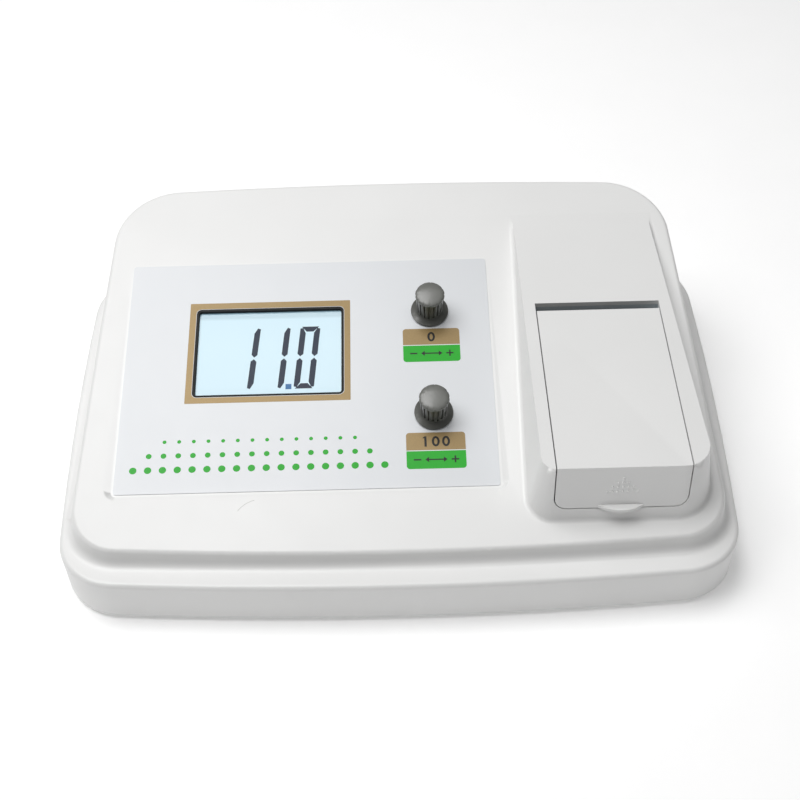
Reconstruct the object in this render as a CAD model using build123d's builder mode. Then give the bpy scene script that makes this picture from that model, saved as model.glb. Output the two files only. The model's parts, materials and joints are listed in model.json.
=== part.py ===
"""Bench turbidity meter: a wedge shaped case with a panel, two knobs and a lidded sample well.

Millimetres. The case stands on XY with its front towards -Y, and the origin is under its middle.
"""
import os
from math import asin, cos, radians, sin, tan

from build123d import *

# case outline, at the rim
FRONT_HALF_WIDTH = 166.0
REAR_HALF_WIDTH = 176.0
CASE_FRONT_Y = -118.0
CASE_REAR_Y = 119.0
FRONT_BOW = 7.0
REAR_BOW = 6.0
SIDE_BOW = 3.5
FRONT_CORNER_RADIUS = 32.0
REAR_CORNER_RADIUS = 44.0
FOOT_HEIGHT = 3.0
RIM_HEIGHT = 24.5
RIM_EDGE_RADIUS = 2.5
WALL = 2.5

# raised deck on the rim
DECK_HALF_WIDTH = 162.5
DECK_FRONT_LEDGE = 13.3
DECK_REAR_LEDGE = 5.0
DECK_FRONT_CORNER = 26.0
DECK_REAR_CORNER = 44.0
DECK_SLOPE = 14.5
DECK_HEIGHT = 64.3
WALL_DRAFT = 9.0
DECK_COVE_RADIUS = 5.0
DECK_EDGE_RADIUS = 2.5

# hump round the sample chamber
HUMP_LEFT_FRONT = 68.0
HUMP_LEFT_REAR = 65.5
HUMP_RIGHT_FRONT = 149.5
HUMP_RIGHT_REAR = 145.0
HUMP_FRONT_Y = -91.8
HUMP_REAR_Y = 92.0
HUMP_SLOPE = 4.54
HUMP_HEIGHT = 79.3
HUMP_REFERENCE_Z = 72.0
HUMP_LEFT_CORNER = 7.0
HUMP_RIGHT_CORNER = 14.0
HUMP_COVE_RADIUS = 2.6

# control panel film in its recess
PANEL_LEFT = -141.5
PANEL_RIGHT = 50.85
PANEL_FRONT_Y = -75.6
PANEL_REAR_Y = 55.4
PANEL_SLOPE = 15.81
PANEL_HEIGHT = 63.0
FILM_THICKNESS = 0.4
RECESS_MARGIN = 1.2
RECESS_DRAFT = 45.0
RECESS_CORNER = 3.0

# display
DISPLAY_X = -66.1
DISPLAY_Y = 1.9
BEZEL_WIDTH = 78.6
BEZEL_DEPTH = 53.4
BEZEL_CORNER = 2.6
BEZEL_BORDER = 1.3
BEZEL_THICKNESS = 3.0
GLASS_THICKNESS = 1.6
LIGHT_THICKNESS = 3.2
DISPLAY_BOARD_THICKNESS = 1.6
DISPLAY_BOARD_MARGIN = 7.0

# knobs and potentiometers
KNOB_X = 19.2
ZERO_KNOB_Y = 23.3
SPAN_KNOB_Y = -35.8
KNOB_SKIRT_RADIUS = 10.0
KNOB_GRIP_RADIUS = 6.7
KNOB_CAP_RADIUS = 7.4
KNOB_DOME = 0.9
KNOB_CAVITY_RADIUS = 5.5
KNOB_HEIGHT = 18.0
KNOB_SKIRT_HEIGHT = 2.6
KNOB_FLUTES = 18
FLUTE_WIDTH = 0.8
FLUTE_ROOT = 6.15
FLUTE_REACH = 2.0
KNOB_GAP = 0.6
SHAFT_RADIUS = 3.0
SHAFT_LENGTH = 15.0
BUSH_RADIUS = 3.5
BUSH_LENGTH = 8.0
POT_RADIUS = 8.5
POT_LENGTH = 9.0
NUT_ACROSS = 9.0
NUT_THICKNESS = 2.2
POT_SWING = 150.0
POT_BOARD_THICKNESS = 1.6

# lid
LID_LEFT = 74.8
LID_RIGHT = 138.7
LID_REAR_Y = 10.0
LID_THICKNESS = 2.8
LID_LOW_Z = 47.3
LID_GAP = 0.6
LID_LOWER_CORNER = 6.0
LID_TAB_WIDTH = 21.5
LID_TAB_REACH = 3.4
LID_TAB_THICKNESS = 1.8
SLOT_LENGTH = 5.5
HINGE_BACK = 6.0
HINGE_DEPTH = 8.0
HINGE_PIN_RADIUS = 1.5
HINGE_EAR_RADIUS = 4.0
HINGE_EAR_WIDTH = 4.0
RUNNING_GAP = 0.05
MOVING_GAP = 0.4
FIT_GAP = 0.2
RAIL_WIDTH = 2.5
SCOOP_WIDTH = 30.0
SCOOP_DEPTH = 1.4
SCOOP_HEIGHT = 5.0
SCOOP_DRAFT = 30.0

# chamber tub, cell block and optics
TUB_INSET = 2.0
TUB_WALL = 2.0
TUB_FLOOR = 2.5
SEAL_WIDTH = 1.6
SEAL_THICKNESS = 0.6
WELL_RADIUS = 15.0
WELL_Y = -38.0
WELL_FLOOR_Z = 11.0
BLOCK_SIZE = 46.0
LAMP_PORT_RADIUS = 5.0
DETECTOR_PORT_RADIUS = 4.0
OPTICS_Z = 28.0
LAMP_BARREL_RADIUS = 8.0
LAMP_BARREL_LENGTH = 24.0
LAMP_HOLDER_LENGTH = 8.0
LENS_THICKNESS = 4.0
LENS_BULGE = 2.4
LENS_SETBACK = 2.0
BULB_RADIUS = 3.0
DETECTOR_RADIUS = 6.0
DETECTOR_LENGTH = 7.0

# tray, boards and supply
TRAY_THICKNESS = 3.0
TRAY_GAP = 0.4
TRAY_LIP_HEIGHT = 6.0
TRAY_LIP_WALL = 2.0
FOOT_RADIUS = 8.0
FOOT_PLUG_RADIUS = 3.0
FOOT_TAPER = 0.8
FOOT_X = 128.0
FOOT_FRONT_Y = -88.0
FOOT_REAR_Y = 92.0
SCREW_X = 148.0
SCREW_FRONT_Y = -92.0
SCREW_REAR_Y = 84.0
BOSS_RADIUS = 4.5
SCREW_RADIUS = 1.5
SCREW_HEAD_RADIUS = 3.0
SCREW_HEAD_HEIGHT = 1.8
SCREW_GRIP = 10.0
BOARD_THICKNESS = 1.6
BOARD_STANDOFF = 7.0
STANDOFF_RADIUS = 3.5
BOARD_HOLE_EDGE = 5.0
MAIN_BOARD_X = -70.0
MAIN_BOARD_Y = -16.0
MAIN_BOARD_WIDTH = 120.0
MAIN_BOARD_DEPTH = 80.0
TRANSFORMER_X = 20.0
TRANSFORMER_Y = 82.0
TRANSFORMER_WIDTH = 48.0
TRANSFORMER_DEPTH = 32.0
TRANSFORMER_HEIGHT = 40.0
VENT_ROWS = 5
VENT_PITCH = 6.0
VENT_LENGTH = 40.0
VENT_WIDTH = 2.5

# rear fittings
REAR_PAD_LEFT = -108.0
REAR_PAD_RIGHT = -8.0
REAR_PAD_LOW = 34.0
REAR_PAD_HIGH = 72.0
REAR_PAD_Y = 112.0
INLET_X = -38.0
INLET_WIDTH = 27.0
INLET_HEIGHT = 19.5
SWITCH_X = -74.0
SWITCH_WIDTH = 12.5
SWITCH_HEIGHT = 19.0
ROCKER_TILT = 12.0
FUSE_X = -95.0
FUSE_RADIUS = 6.0
FUSE_DEPTH = 24.0
FUSE_CAP_DEPTH = 12.0
FLANGE = 2.0
INLET_DEPTH = 18.0
PIN_SPREAD = 7.0
SWITCH_DEPTH = 14.0
ROCKER_ROOT = 3.5
ROCKER_STUB = 1.2
ROCKER_END_GAP = 1.3
FITTING_Z = 53.0

os.makedirs("parts", exist_ok=True)

# worked out levels and planes
rim_top = FOOT_HEIGHT + RIM_HEIGHT
lid_mid_x = (LID_LEFT + LID_RIGHT) / 2
tray_top = FOOT_HEIGHT + TRAY_THICKNESS
tall = 130.0

# the main board's parts: places from its middle, and their sizes
CHIP_PITCH_X = 26.0
CHIP_PITCH_Y = 22.0
CHIP_COLUMNS = 3
CHIP_ROWS = 2
CHIP_WIDTH = 16.0
CHIP_DEPTH = 8.0
CHIP_HEIGHT = 4.0
CHIP_SETBACK = 6.0
CAPACITOR_FAR_X = 36.0
CAPACITOR_NEAR_X = 20.0
CAPACITOR_Y = 28.0
CAPACITOR_RADIUS = 6.0
CAPACITOR_HEIGHT = 18.0
CAPACITOR_CHAMFER = 0.8
SINK_X = 20.0
SINK_Y = 30.0
SINK_FINS = 5
SINK_FIN_PITCH = 4.0
SINK_FIN_WIDTH = 1.4
SINK_FIN_DEPTH = 10.0
SINK_BACK_WIDTH = 20.0
SINK_BACK_DEPTH = 2.0
SINK_HEIGHT = 16.0
SCREW_BITE = 0.8
COIL_CORNER = 3.0
BLOCK_CHAMFER = 2.0
BARREL_WALL = 1.6
LAMP_HOLDER_FLANGE = 3.0
BULB_NECK = 4.0
BULB_SEAT = 0.7
DETECTOR_BOARD_SHARE = 0.7
WINDOW_CORNER = 1.2
SMALL_GAP = 0.1
DISPLAY_BOARD_CORNER = 2.0
SKIRT_EDGE = 0.4
GRIP_BLEND = 0.8
GRIP_RISE = 0.6
CAP_EDGE = 0.5
FLUTE_START = 1.2
FUSE_WALL = 1.4
FUSE_FLANGE = 1.5
FUSE_SLOT_WIDTH = 1.2
INLET_LIP = 2.0
INLET_CORNER = 3.0


def sloped(height, slope, lift=0.0):
    """Plane that rises towards the rear, with its origin over the case's middle."""
    tilt = radians(slope)
    up = (0, -sin(tilt), cos(tilt))
    base = Plane(origin=(0, 0, height), x_dir=(1, 0, 0), z_dir=up)
    return base.offset(lift)


def height_on(height, slope, y):
    """Height above the table of a sloped plane at the depth y."""
    return height + y * tan(radians(slope))


deck_plane = sloped(DECK_HEIGHT, DECK_SLOPE)
panel_plane = sloped(PANEL_HEIGHT, PANEL_SLOPE)
hump_plane = sloped(HUMP_HEIGHT, HUMP_SLOPE)
panel_shrink = cos(radians(PANEL_SLOPE))
front_lean = tan(radians(WALL_DRAFT))


def on_panel(x, y):
    """Panel plane's own coordinates of the point that lies over x, y."""
    return x, y / panel_shrink


def bowed(front_half, rear_half, front_y, rear_y, bows, radii):
    """Four sided outline with slightly bowed sides and rounded corners."""
    front_bow, side_bow, rear_bow = bows
    middle = ((front_half + rear_half) / 2 + side_bow, (front_y + rear_y) / 2)
    with BuildSketch() as outline:
        with BuildLine():
            ThreePointArc((-front_half, front_y), (0, front_y - front_bow), (front_half, front_y))
            ThreePointArc((front_half, front_y), middle, (rear_half, rear_y))
            ThreePointArc((rear_half, rear_y), (0, rear_y + rear_bow), (-rear_half, rear_y))
            ThreePointArc((-rear_half, rear_y), (-middle[0], middle[1]), (-front_half, front_y))
        make_face()
        fillet(outline.vertices().group_by(Axis.Y)[0], radii[0])
        fillet(outline.vertices().group_by(Axis.Y)[-1], radii[1])
    return outline.sketch


def rim_outline(inset):
    """Outline of the rim, moved inwards."""
    return bowed(
        FRONT_HALF_WIDTH - inset,
        REAR_HALF_WIDTH - inset,
        CASE_FRONT_Y + inset,
        CASE_REAR_Y - inset,
        (FRONT_BOW, SIDE_BOW, REAR_BOW),
        (FRONT_CORNER_RADIUS - inset, REAR_CORNER_RADIUS - inset),
    )


def deck_outline(inset):
    """Outline of the deck where it stands on the rim, moved inwards."""
    return bowed(
        DECK_HALF_WIDTH - inset,
        DECK_HALF_WIDTH - inset,
        CASE_FRONT_Y - FRONT_BOW + DECK_FRONT_LEDGE + FRONT_BOW * 0.8 + inset,
        CASE_REAR_Y + REAR_BOW - DECK_REAR_LEDGE - REAR_BOW * 0.8 - inset,
        (FRONT_BOW * 0.8, 0.8, REAR_BOW * 0.8),
        (DECK_FRONT_CORNER - inset, DECK_REAR_CORNER - inset),
    )


def hump_outline(inset):
    """Outline of the hump, moved inwards from its place at the reference height."""
    with BuildSketch() as outline:
        with BuildLine():
            Polyline(
                (HUMP_LEFT_FRONT + inset, HUMP_FRONT_Y + inset),
                (HUMP_RIGHT_FRONT - inset, HUMP_FRONT_Y + inset),
                (HUMP_RIGHT_REAR - inset, HUMP_REAR_Y - inset),
                (HUMP_LEFT_REAR + inset, HUMP_REAR_Y - inset),
                close=True,
            )
        make_face()
        fillet(outline.vertices().group_by(Axis.Y)[0].sort_by(Axis.X)[-1], HUMP_RIGHT_CORNER - inset)
        fillet(outline.vertices().group_by(Axis.Y)[0].sort_by(Axis.X)[0], HUMP_LEFT_CORNER - inset)
        fillet(outline.vertices().group_by(Axis.Y)[-1], HUMP_LEFT_CORNER - inset)
    return outline.sketch


def hump_block(inset, low_z):
    """Drafted block of the hump, to be trimmed by the hump's plane."""
    with BuildPart() as block:
        with BuildSketch(Plane.XY.offset(low_z)):
            add(hump_outline(inset - (HUMP_REFERENCE_Z - low_z) * front_lean))
        extrude(amount=tall - 25 - low_z, taper=WALL_DRAFT)
    return block.part


def deck_block(inset, low_z):
    """Drafted block of the deck, to be trimmed by the deck's plane."""
    with BuildPart() as block:
        with BuildSketch(Plane.XY.offset(low_z)):
            add(deck_outline(inset))
        extrude(amount=tall - low_z, taper=WALL_DRAFT)
    return block.part


def above(plane):
    """Large block that covers everything over a plane."""
    with BuildPart() as block:
        with BuildSketch(plane):
            Rectangle(900, 900)
        extrude(amount=200)
    return block.part


def trimmed_hump(inset, low_z):
    """The hump's block under its sloped top."""
    return hump_block(inset, low_z) - above(hump_plane.offset(-inset))


def box_between(low, high):
    """Box from its lowest to its highest corner."""
    with BuildPart() as block:
        with BuildSketch(Plane.XY.offset(low[2])):
            with Locations(((low[0] + high[0]) / 2, (low[1] + high[1]) / 2)):
                Rectangle(high[0] - low[0], high[1] - low[1])
        extrude(amount=high[2] - low[2])
    return block.part


def rounded_plate(plane, centre, width, depth, low, high, corner=0.0):
    """Plate in a sloped plane's own frame, between two distances along its normal."""
    with BuildPart() as plate:
        with BuildSketch(plane.offset(low)):
            with Locations(centre):
                if corner > 0:
                    RectangleRounded(width, depth, corner)
                else:
                    Rectangle(width, depth)
        extrude(amount=high - low)
    return plate.part


def rod(plane, centre, radius, low, high):
    """Round bar along a plane's normal."""
    with BuildPart() as bar:
        with BuildSketch(plane.offset(low)):
            with Locations(centre):
                Circle(radius)
        extrude(amount=high - low)
    return bar.part


def dome_middle(radius, bulge):
    """Middle of a shallow dome's arc: its distance from the axis and its drop from the apex."""
    ball = (radius * radius + bulge * bulge) / (2 * bulge)
    half_turn = asin(radius / ball) / 2
    return ball * sin(half_turn), ball * (1 - cos(half_turn))


def save(part, name):
    """Label a piece and write its file."""
    part.label = name
    export_step(part, f"parts/{name}.step")


# lid opening, hinge and chamber levels
opening_left = LID_LEFT - LID_GAP
opening_right = LID_RIGHT + LID_GAP
opening_rear = LID_REAR_Y + SLOT_LENGTH
opening_low = LID_LOW_Z - LID_GAP
hinge_y = LID_REAR_Y - HINGE_BACK
hinge_z = height_on(HUMP_HEIGHT, HUMP_SLOPE, LID_REAR_Y) - HINGE_DEPTH
block_top = opening_low - TUB_FLOOR
chamber_front_y = HUMP_FRONT_Y - (HUMP_REFERENCE_Z - opening_low) * front_lean
far_front = CASE_FRONT_Y - 30
far_up = 2 * HUMP_HEIGHT

# display and panel places in the panel's own frame
panel_mid = on_panel((PANEL_LEFT + PANEL_RIGHT) / 2, (PANEL_FRONT_Y + PANEL_REAR_Y) / 2)
panel_width = PANEL_RIGHT - PANEL_LEFT
panel_depth = (PANEL_REAR_Y - PANEL_FRONT_Y) / panel_shrink
display_at = on_panel(DISPLAY_X, DISPLAY_Y)
knob_places = {"zero": on_panel(KNOB_X, ZERO_KNOB_Y), "span": on_panel(KNOB_X, SPAN_KNOB_Y)}

# outer form of the case: rim, deck, hump and panel recess
with BuildPart() as form:
    with BuildSketch(Plane.XY.offset(FOOT_HEIGHT)):
        add(rim_outline(0))
    extrude(amount=RIM_HEIGHT)
    add(deck_block(0, rim_top) - above(deck_plane))
    ledge = form.faces().filter_by(Plane.XY).sort_by(Axis.Z)[-1]
    fillet(ledge.inner_wires()[0].edges(), DECK_COVE_RADIUS)
    ledge = form.faces().filter_by(Plane.XY).sort_by(Axis.Z)[-1]
    fillet(ledge.outer_wire().edges(), RIM_EDGE_RADIUS)
    deck_face = form.faces().sort_by(Axis.Z)[-1]
    fillet(deck_face.outer_wire().edges(), DECK_EDGE_RADIUS)
    add(hump_block(0, rim_top / 2))
    on_deck = [f for f in form.faces() if f.geom_type == GeomType.PLANE]
    on_deck = [f for f in on_deck if f.normal_at().dot(deck_plane.z_dir) > 0.9999]
    deck_face = max(on_deck, key=lambda f: f.area)
    fillet(deck_face.inner_wires()[0].edges(), HUMP_COVE_RADIUS)
    add(above(hump_plane) & above(deck_plane), mode=Mode.SUBTRACT)
    with BuildSketch(panel_plane):
        with Locations(panel_mid):
            RectangleRounded(
                panel_width + 2 * RECESS_MARGIN,
                panel_depth + 2 * RECESS_MARGIN,
                RECESS_CORNER,
            )
    extrude(amount=10, taper=-RECESS_DRAFT, mode=Mode.SUBTRACT)

# hollow inside the cover
with BuildPart() as hollow:
    with BuildSketch(Plane.XY.offset(FOOT_HEIGHT - 1)):
        add(rim_outline(WALL))
    extrude(amount=RIM_HEIGHT + 1 - WALL)
    add(deck_block(WALL, rim_top - WALL - 1) - above(deck_plane.offset(-WALL)))
    add(trimmed_hump(WALL, rim_top / 2))
    with BuildSketch(panel_plane.offset(-WALL)):
        with Locations(panel_mid):
            Rectangle(panel_width + 4 * RECESS_MARGIN + 2 * WALL, panel_depth + 4 * RECESS_MARGIN + 2 * WALL)
    extrude(amount=40, mode=Mode.SUBTRACT)
    add(
        box_between(
            (REAR_PAD_LEFT - WALL, REAR_PAD_Y - WALL, REAR_PAD_LOW - WALL),
            (REAR_PAD_RIGHT + WALL, CASE_REAR_Y + 30, REAR_PAD_HIGH + WALL),
        ),
        mode=Mode.SUBTRACT,
    )

boss_places = [(x, y) for x in (-SCREW_X, SCREW_X) for y in (SCREW_FRONT_Y, SCREW_REAR_Y)]

# cover: the white moulding that carries everything
with BuildPart() as top_cover:
    add(form.part - hollow.part)
    with BuildPart(mode=Mode.PRIVATE) as bosses:
        with BuildSketch(Plane.XY.offset(tray_top)):
            with Locations(*boss_places):
                Circle(BOSS_RADIUS)
        extrude(amount=tall)
    add(bosses.part & form.part)
    with BuildSketch(Plane.XY.offset(tray_top)):
        with Locations(*boss_places):
            Circle(SCREW_RADIUS + RUNNING_GAP)
    extrude(amount=SCREW_GRIP + 2, mode=Mode.SUBTRACT)
    add(
        box_between(
            (REAR_PAD_LEFT, REAR_PAD_Y, REAR_PAD_LOW),
            (REAR_PAD_RIGHT, CASE_REAR_Y + 30, REAR_PAD_HIGH),
        ),
        mode=Mode.SUBTRACT,
    )
    with BuildSketch(Plane.XZ.offset(-chamber_front_y - 10)):
        with Locations((lid_mid_x, (opening_low + far_up) / 2)):
            RectangleRounded(
                opening_right - opening_left, far_up - opening_low, LID_LOWER_CORNER + LID_GAP
            )
    extrude(amount=60, mode=Mode.SUBTRACT)
    add(
        box_between(
            (opening_left, chamber_front_y, hinge_z - HINGE_DEPTH),
            (opening_right, opening_rear, far_up),
        ),
        mode=Mode.SUBTRACT,
    )
    scoop_y = chamber_front_y + SCOOP_DEPTH
    with BuildSketch(Plane.XY.offset(opening_low)):
        with BuildLine():
            left, right = lid_mid_x - SCOOP_WIDTH / 2, lid_mid_x + SCOOP_WIDTH / 2
            front_y = chamber_front_y - SCOOP_HEIGHT
            Polyline((right, chamber_front_y), (right, front_y), (left, front_y), (left, chamber_front_y))
            ThreePointArc((left, chamber_front_y), (lid_mid_x, scoop_y), (right, chamber_front_y))
        make_face()
    extrude(amount=-SCOOP_HEIGHT, taper=SCOOP_DRAFT, mode=Mode.SUBTRACT)
    with BuildSketch(panel_plane.offset(-2 * WALL)):
        with Locations(display_at):
            RectangleRounded(BEZEL_WIDTH + FIT_GAP, BEZEL_DEPTH + FIT_GAP, BEZEL_CORNER)
        with Locations(*knob_places.values()):
            Circle(BUSH_RADIUS + FIT_GAP)
    extrude(amount=4 * WALL, mode=Mode.SUBTRACT)
    with BuildSketch(Plane.XZ.offset(-CASE_REAR_Y - 10)):
        with Locations((INLET_X, FITTING_Z)):
            Rectangle(INLET_WIDTH + FIT_GAP, INLET_HEIGHT + FIT_GAP)
        with Locations((SWITCH_X, FITTING_Z)):
            Rectangle(SWITCH_WIDTH + FIT_GAP, SWITCH_HEIGHT + FIT_GAP)
        with Locations((FUSE_X, FITTING_Z)):
            Circle(FUSE_RADIUS + FIT_GAP)
    extrude(amount=CASE_REAR_Y + 10 - REAR_PAD_Y + 2 * WALL, mode=Mode.SUBTRACT)
save(top_cover.part, "top_cover")

# tray: the base plate, with moulded standoffs and seats for the feet
hole_reach_x = MAIN_BOARD_WIDTH / 2 - BOARD_HOLE_EDGE
hole_reach_y = MAIN_BOARD_DEPTH / 2 - BOARD_HOLE_EDGE
board_holes = [
    (MAIN_BOARD_X + side * hole_reach_x, MAIN_BOARD_Y + end * hole_reach_y)
    for side in (-1, 1)
    for end in (-1, 1)
]
foot_places = [(x, y) for x in (-FOOT_X, FOOT_X) for y in (FOOT_FRONT_Y, FOOT_REAR_Y)]
board_low = tray_top + BOARD_STANDOFF
board_top = board_low + BOARD_THICKNESS
with BuildPart() as bottom_tray:
    with BuildSketch(Plane.XY.offset(FOOT_HEIGHT)):
        add(rim_outline(WALL + TRAY_GAP))
    extrude(amount=TRAY_THICKNESS)
    with BuildSketch(Plane.XY.offset(tray_top)):
        add(rim_outline(WALL + TRAY_GAP))
        add(rim_outline(WALL + TRAY_GAP + TRAY_LIP_WALL), mode=Mode.SUBTRACT)
    extrude(amount=TRAY_LIP_HEIGHT)
    with BuildSketch(Plane.XY.offset(tray_top)):
        with Locations(*board_holes):
            Circle(STANDOFF_RADIUS)
    extrude(amount=BOARD_STANDOFF)
    with BuildSketch(Plane.XY.offset(tray_top)):
        with Locations(*board_holes):
            Circle(SCREW_RADIUS + RUNNING_GAP)
    extrude(amount=BOARD_STANDOFF, mode=Mode.SUBTRACT)
    with BuildSketch(Plane.XY.offset(FOOT_HEIGHT)):
        with Locations(*foot_places):
            Circle(FOOT_PLUG_RADIUS + RUNNING_GAP)
        with Locations(*boss_places):
            Circle(SCREW_RADIUS + FIT_GAP)
    extrude(amount=TRAY_THICKNESS, mode=Mode.SUBTRACT)
    with BuildSketch(Plane.XY.offset(FOOT_HEIGHT)):
        with Locations(*boss_places):
            Circle(SCREW_HEAD_RADIUS + FIT_GAP)
    extrude(amount=SCREW_HEAD_HEIGHT, mode=Mode.SUBTRACT)
    with BuildSketch(Plane.XY.offset(FOOT_HEIGHT)):
        for row in range(VENT_ROWS):
            with Locations((TRANSFORMER_X, TRANSFORMER_Y - TRANSFORMER_DEPTH / 2 - VENT_PITCH * (row + 1))):
                SlotOverall(VENT_LENGTH, VENT_WIDTH)
    extrude(amount=TRAY_THICKNESS, mode=Mode.SUBTRACT)
save(bottom_tray.part, "bottom_tray")

with BuildPart() as rubber_feet:
    with BuildSketch():
        with Locations(*foot_places):
            Circle(FOOT_RADIUS - FOOT_TAPER)
    extrude(amount=FOOT_HEIGHT, taper=-30 * FOOT_TAPER / FOOT_HEIGHT)
    with BuildSketch(Plane.XY.offset(FOOT_HEIGHT)):
        with Locations(*foot_places):
            Circle(FOOT_PLUG_RADIUS)
    extrude(amount=TRAY_THICKNESS)
save(rubber_feet.part, "rubber_feet")


def screws(places, head_low, head_up, length, head_radius=SCREW_HEAD_RADIUS):
    """Group of equal screws: heads from one level to another, shanks beyond the head."""
    sign = 1 if length > 0 else -1
    base = head_up if sign > 0 else head_low
    with BuildPart() as group:
        with BuildSketch(Plane.XY.offset(head_low)):
            with Locations(*places):
                Circle(head_radius)
        extrude(amount=head_up - head_low)
        with BuildSketch(Plane.XY.offset(base)):
            with Locations(*places):
                Circle(SCREW_RADIUS)
        extrude(amount=length)
    return group.part


case_head = FOOT_HEIGHT + SCREW_HEAD_HEIGHT
case_shank = TRAY_THICKNESS - SCREW_HEAD_HEIGHT + SCREW_GRIP
save(screws(boss_places, FOOT_HEIGHT + FIT_GAP, case_head, case_shank), "case_screws")
board_shank = -BOARD_THICKNESS - BOARD_STANDOFF * SCREW_BITE
save(screws(board_holes, board_top, board_top + SCREW_HEAD_HEIGHT, board_shank), "board_screws")

# electronics on the tray
with BuildPart() as main_board:
    with BuildSketch(Plane.XY.offset(board_low)):
        with Locations((MAIN_BOARD_X, MAIN_BOARD_Y)):
            Rectangle(MAIN_BOARD_WIDTH, MAIN_BOARD_DEPTH)
        with Locations(*board_holes):
            Circle(SCREW_RADIUS + FIT_GAP, mode=Mode.SUBTRACT)
    extrude(amount=BOARD_THICKNESS)
save(main_board.part, "main_board")

with BuildPart() as board_chips:
    with BuildSketch(Plane.XY.offset(board_top)):
        with GridLocations(CHIP_PITCH_X, CHIP_PITCH_Y, CHIP_COLUMNS, CHIP_ROWS):
            with Locations((MAIN_BOARD_X, MAIN_BOARD_Y - CHIP_SETBACK)):
                Rectangle(CHIP_WIDTH, CHIP_DEPTH)
    extrude(amount=CHIP_HEIGHT)
save(board_chips.part, "board_chips")

capacitor_y = MAIN_BOARD_Y + CAPACITOR_Y
with BuildPart() as capacitors:
    with BuildSketch(Plane.XY.offset(board_top)):
        with Locations(*[(MAIN_BOARD_X - away, capacitor_y) for away in (CAPACITOR_FAR_X, CAPACITOR_NEAR_X)]):
            Circle(CAPACITOR_RADIUS)
    extrude(amount=CAPACITOR_HEIGHT)
    chamfer(capacitors.faces().sort_by(Axis.Z)[-2:].edges(), CAPACITOR_CHAMFER)
save(capacitors.part, "capacitors")

with BuildPart() as heat_sink:
    with BuildSketch(Plane.XY.offset(board_top)):
        with Locations((MAIN_BOARD_X + SINK_X, MAIN_BOARD_Y + SINK_Y)):
            for fin in range(SINK_FINS):
                with Locations(((fin - (SINK_FINS - 1) / 2) * SINK_FIN_PITCH, 0)):
                    Rectangle(SINK_FIN_WIDTH, SINK_FIN_DEPTH)
            with Locations((0, SINK_FIN_DEPTH / 2)):
                Rectangle(SINK_BACK_WIDTH, SINK_BACK_DEPTH)
    extrude(amount=SINK_HEIGHT)
save(heat_sink.part, "heat_sink")

core_half = (TRANSFORMER_WIDTH / 2, TRANSFORMER_DEPTH / 2)
with BuildPart() as transformer_core:
    with BuildSketch(Plane.XZ.offset(-TRANSFORMER_Y - core_half[1] / 2)):
        with Locations((TRANSFORMER_X, tray_top + TRANSFORMER_HEIGHT / 2)):
            Rectangle(TRANSFORMER_WIDTH, TRANSFORMER_HEIGHT)
            with Locations((-TRANSFORMER_WIDTH / 4, 0), (TRANSFORMER_WIDTH / 4, 0)):
                Rectangle(TRANSFORMER_WIDTH / 6, TRANSFORMER_HEIGHT * 2 / 3, mode=Mode.SUBTRACT)
    extrude(amount=core_half[1])
save(transformer_core.part, "transformer_core")

leg = TRANSFORMER_WIDTH / 3
coil_height = TRANSFORMER_HEIGHT * 2 / 3
with BuildPart() as transformer_coil:
    with BuildSketch(Plane.XY.offset(tray_top + TRANSFORMER_HEIGHT / 6)):
        with Locations((TRANSFORMER_X, TRANSFORMER_Y)):
            RectangleRounded(leg + TRANSFORMER_WIDTH / 3, TRANSFORMER_DEPTH, COIL_CORNER)
            Rectangle(leg, core_half[1], mode=Mode.SUBTRACT)
            with Locations((-TRANSFORMER_WIDTH / 2, 0), (TRANSFORMER_WIDTH / 2, 0)):
                Rectangle(leg, core_half[1], mode=Mode.SUBTRACT)
    extrude(amount=coil_height)
save(transformer_coil.part, "transformer_coil")

# panel film with its cut-outs
with BuildPart() as panel_film:
    with BuildSketch(panel_plane):
        with Locations(panel_mid):
            RectangleRounded(panel_width, panel_depth, RECESS_CORNER / 2)
        with Locations(display_at):
            RectangleRounded(BEZEL_WIDTH + FIT_GAP, BEZEL_DEPTH + FIT_GAP, BEZEL_CORNER, mode=Mode.SUBTRACT)
        with Locations(*knob_places.values()):
            Circle(BUSH_RADIUS + FIT_GAP, mode=Mode.SUBTRACT)
    extrude(amount=FILM_THICKNESS)
save(panel_film.part, "panel_film")

# display stack under the window
glass_width = BEZEL_WIDTH - 2 * BEZEL_BORDER
glass_depth = BEZEL_DEPTH - 2 * BEZEL_BORDER
bezel_low = -BEZEL_THICKNESS
light_low = bezel_low - LIGHT_THICKNESS


def display_plate(width, depth, low, high, corner):
    """Rounded plate at the display's place on the panel."""
    return rounded_plate(panel_plane, display_at, width, depth, low, high, corner)


with BuildPart() as display_bezel:
    add(display_plate(BEZEL_WIDTH, BEZEL_DEPTH, bezel_low, FILM_THICKNESS / 2, BEZEL_CORNER))
    add(display_plate(glass_width, glass_depth, bezel_low, 1, WINDOW_CORNER), mode=Mode.SUBTRACT)
save(display_bezel.part, "display_bezel")
glass_top = bezel_low + GLASS_THICKNESS
glass = display_plate(glass_width - SMALL_GAP, glass_depth - SMALL_GAP, bezel_low, glass_top, WINDOW_CORNER)
save(glass, "display_glass")
save(display_plate(BEZEL_WIDTH, BEZEL_DEPTH, light_low, bezel_low, BEZEL_CORNER), "display_backlight")
display_board_low = light_low - DISPLAY_BOARD_THICKNESS
save(
    rounded_plate(
        panel_plane,
        display_at,
        BEZEL_WIDTH + 2 * DISPLAY_BOARD_MARGIN,
        BEZEL_DEPTH + 2 * DISPLAY_BOARD_MARGIN,
        display_board_low,
        light_low,
        DISPLAY_BOARD_CORNER,
    ),
    "display_board",
)

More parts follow.
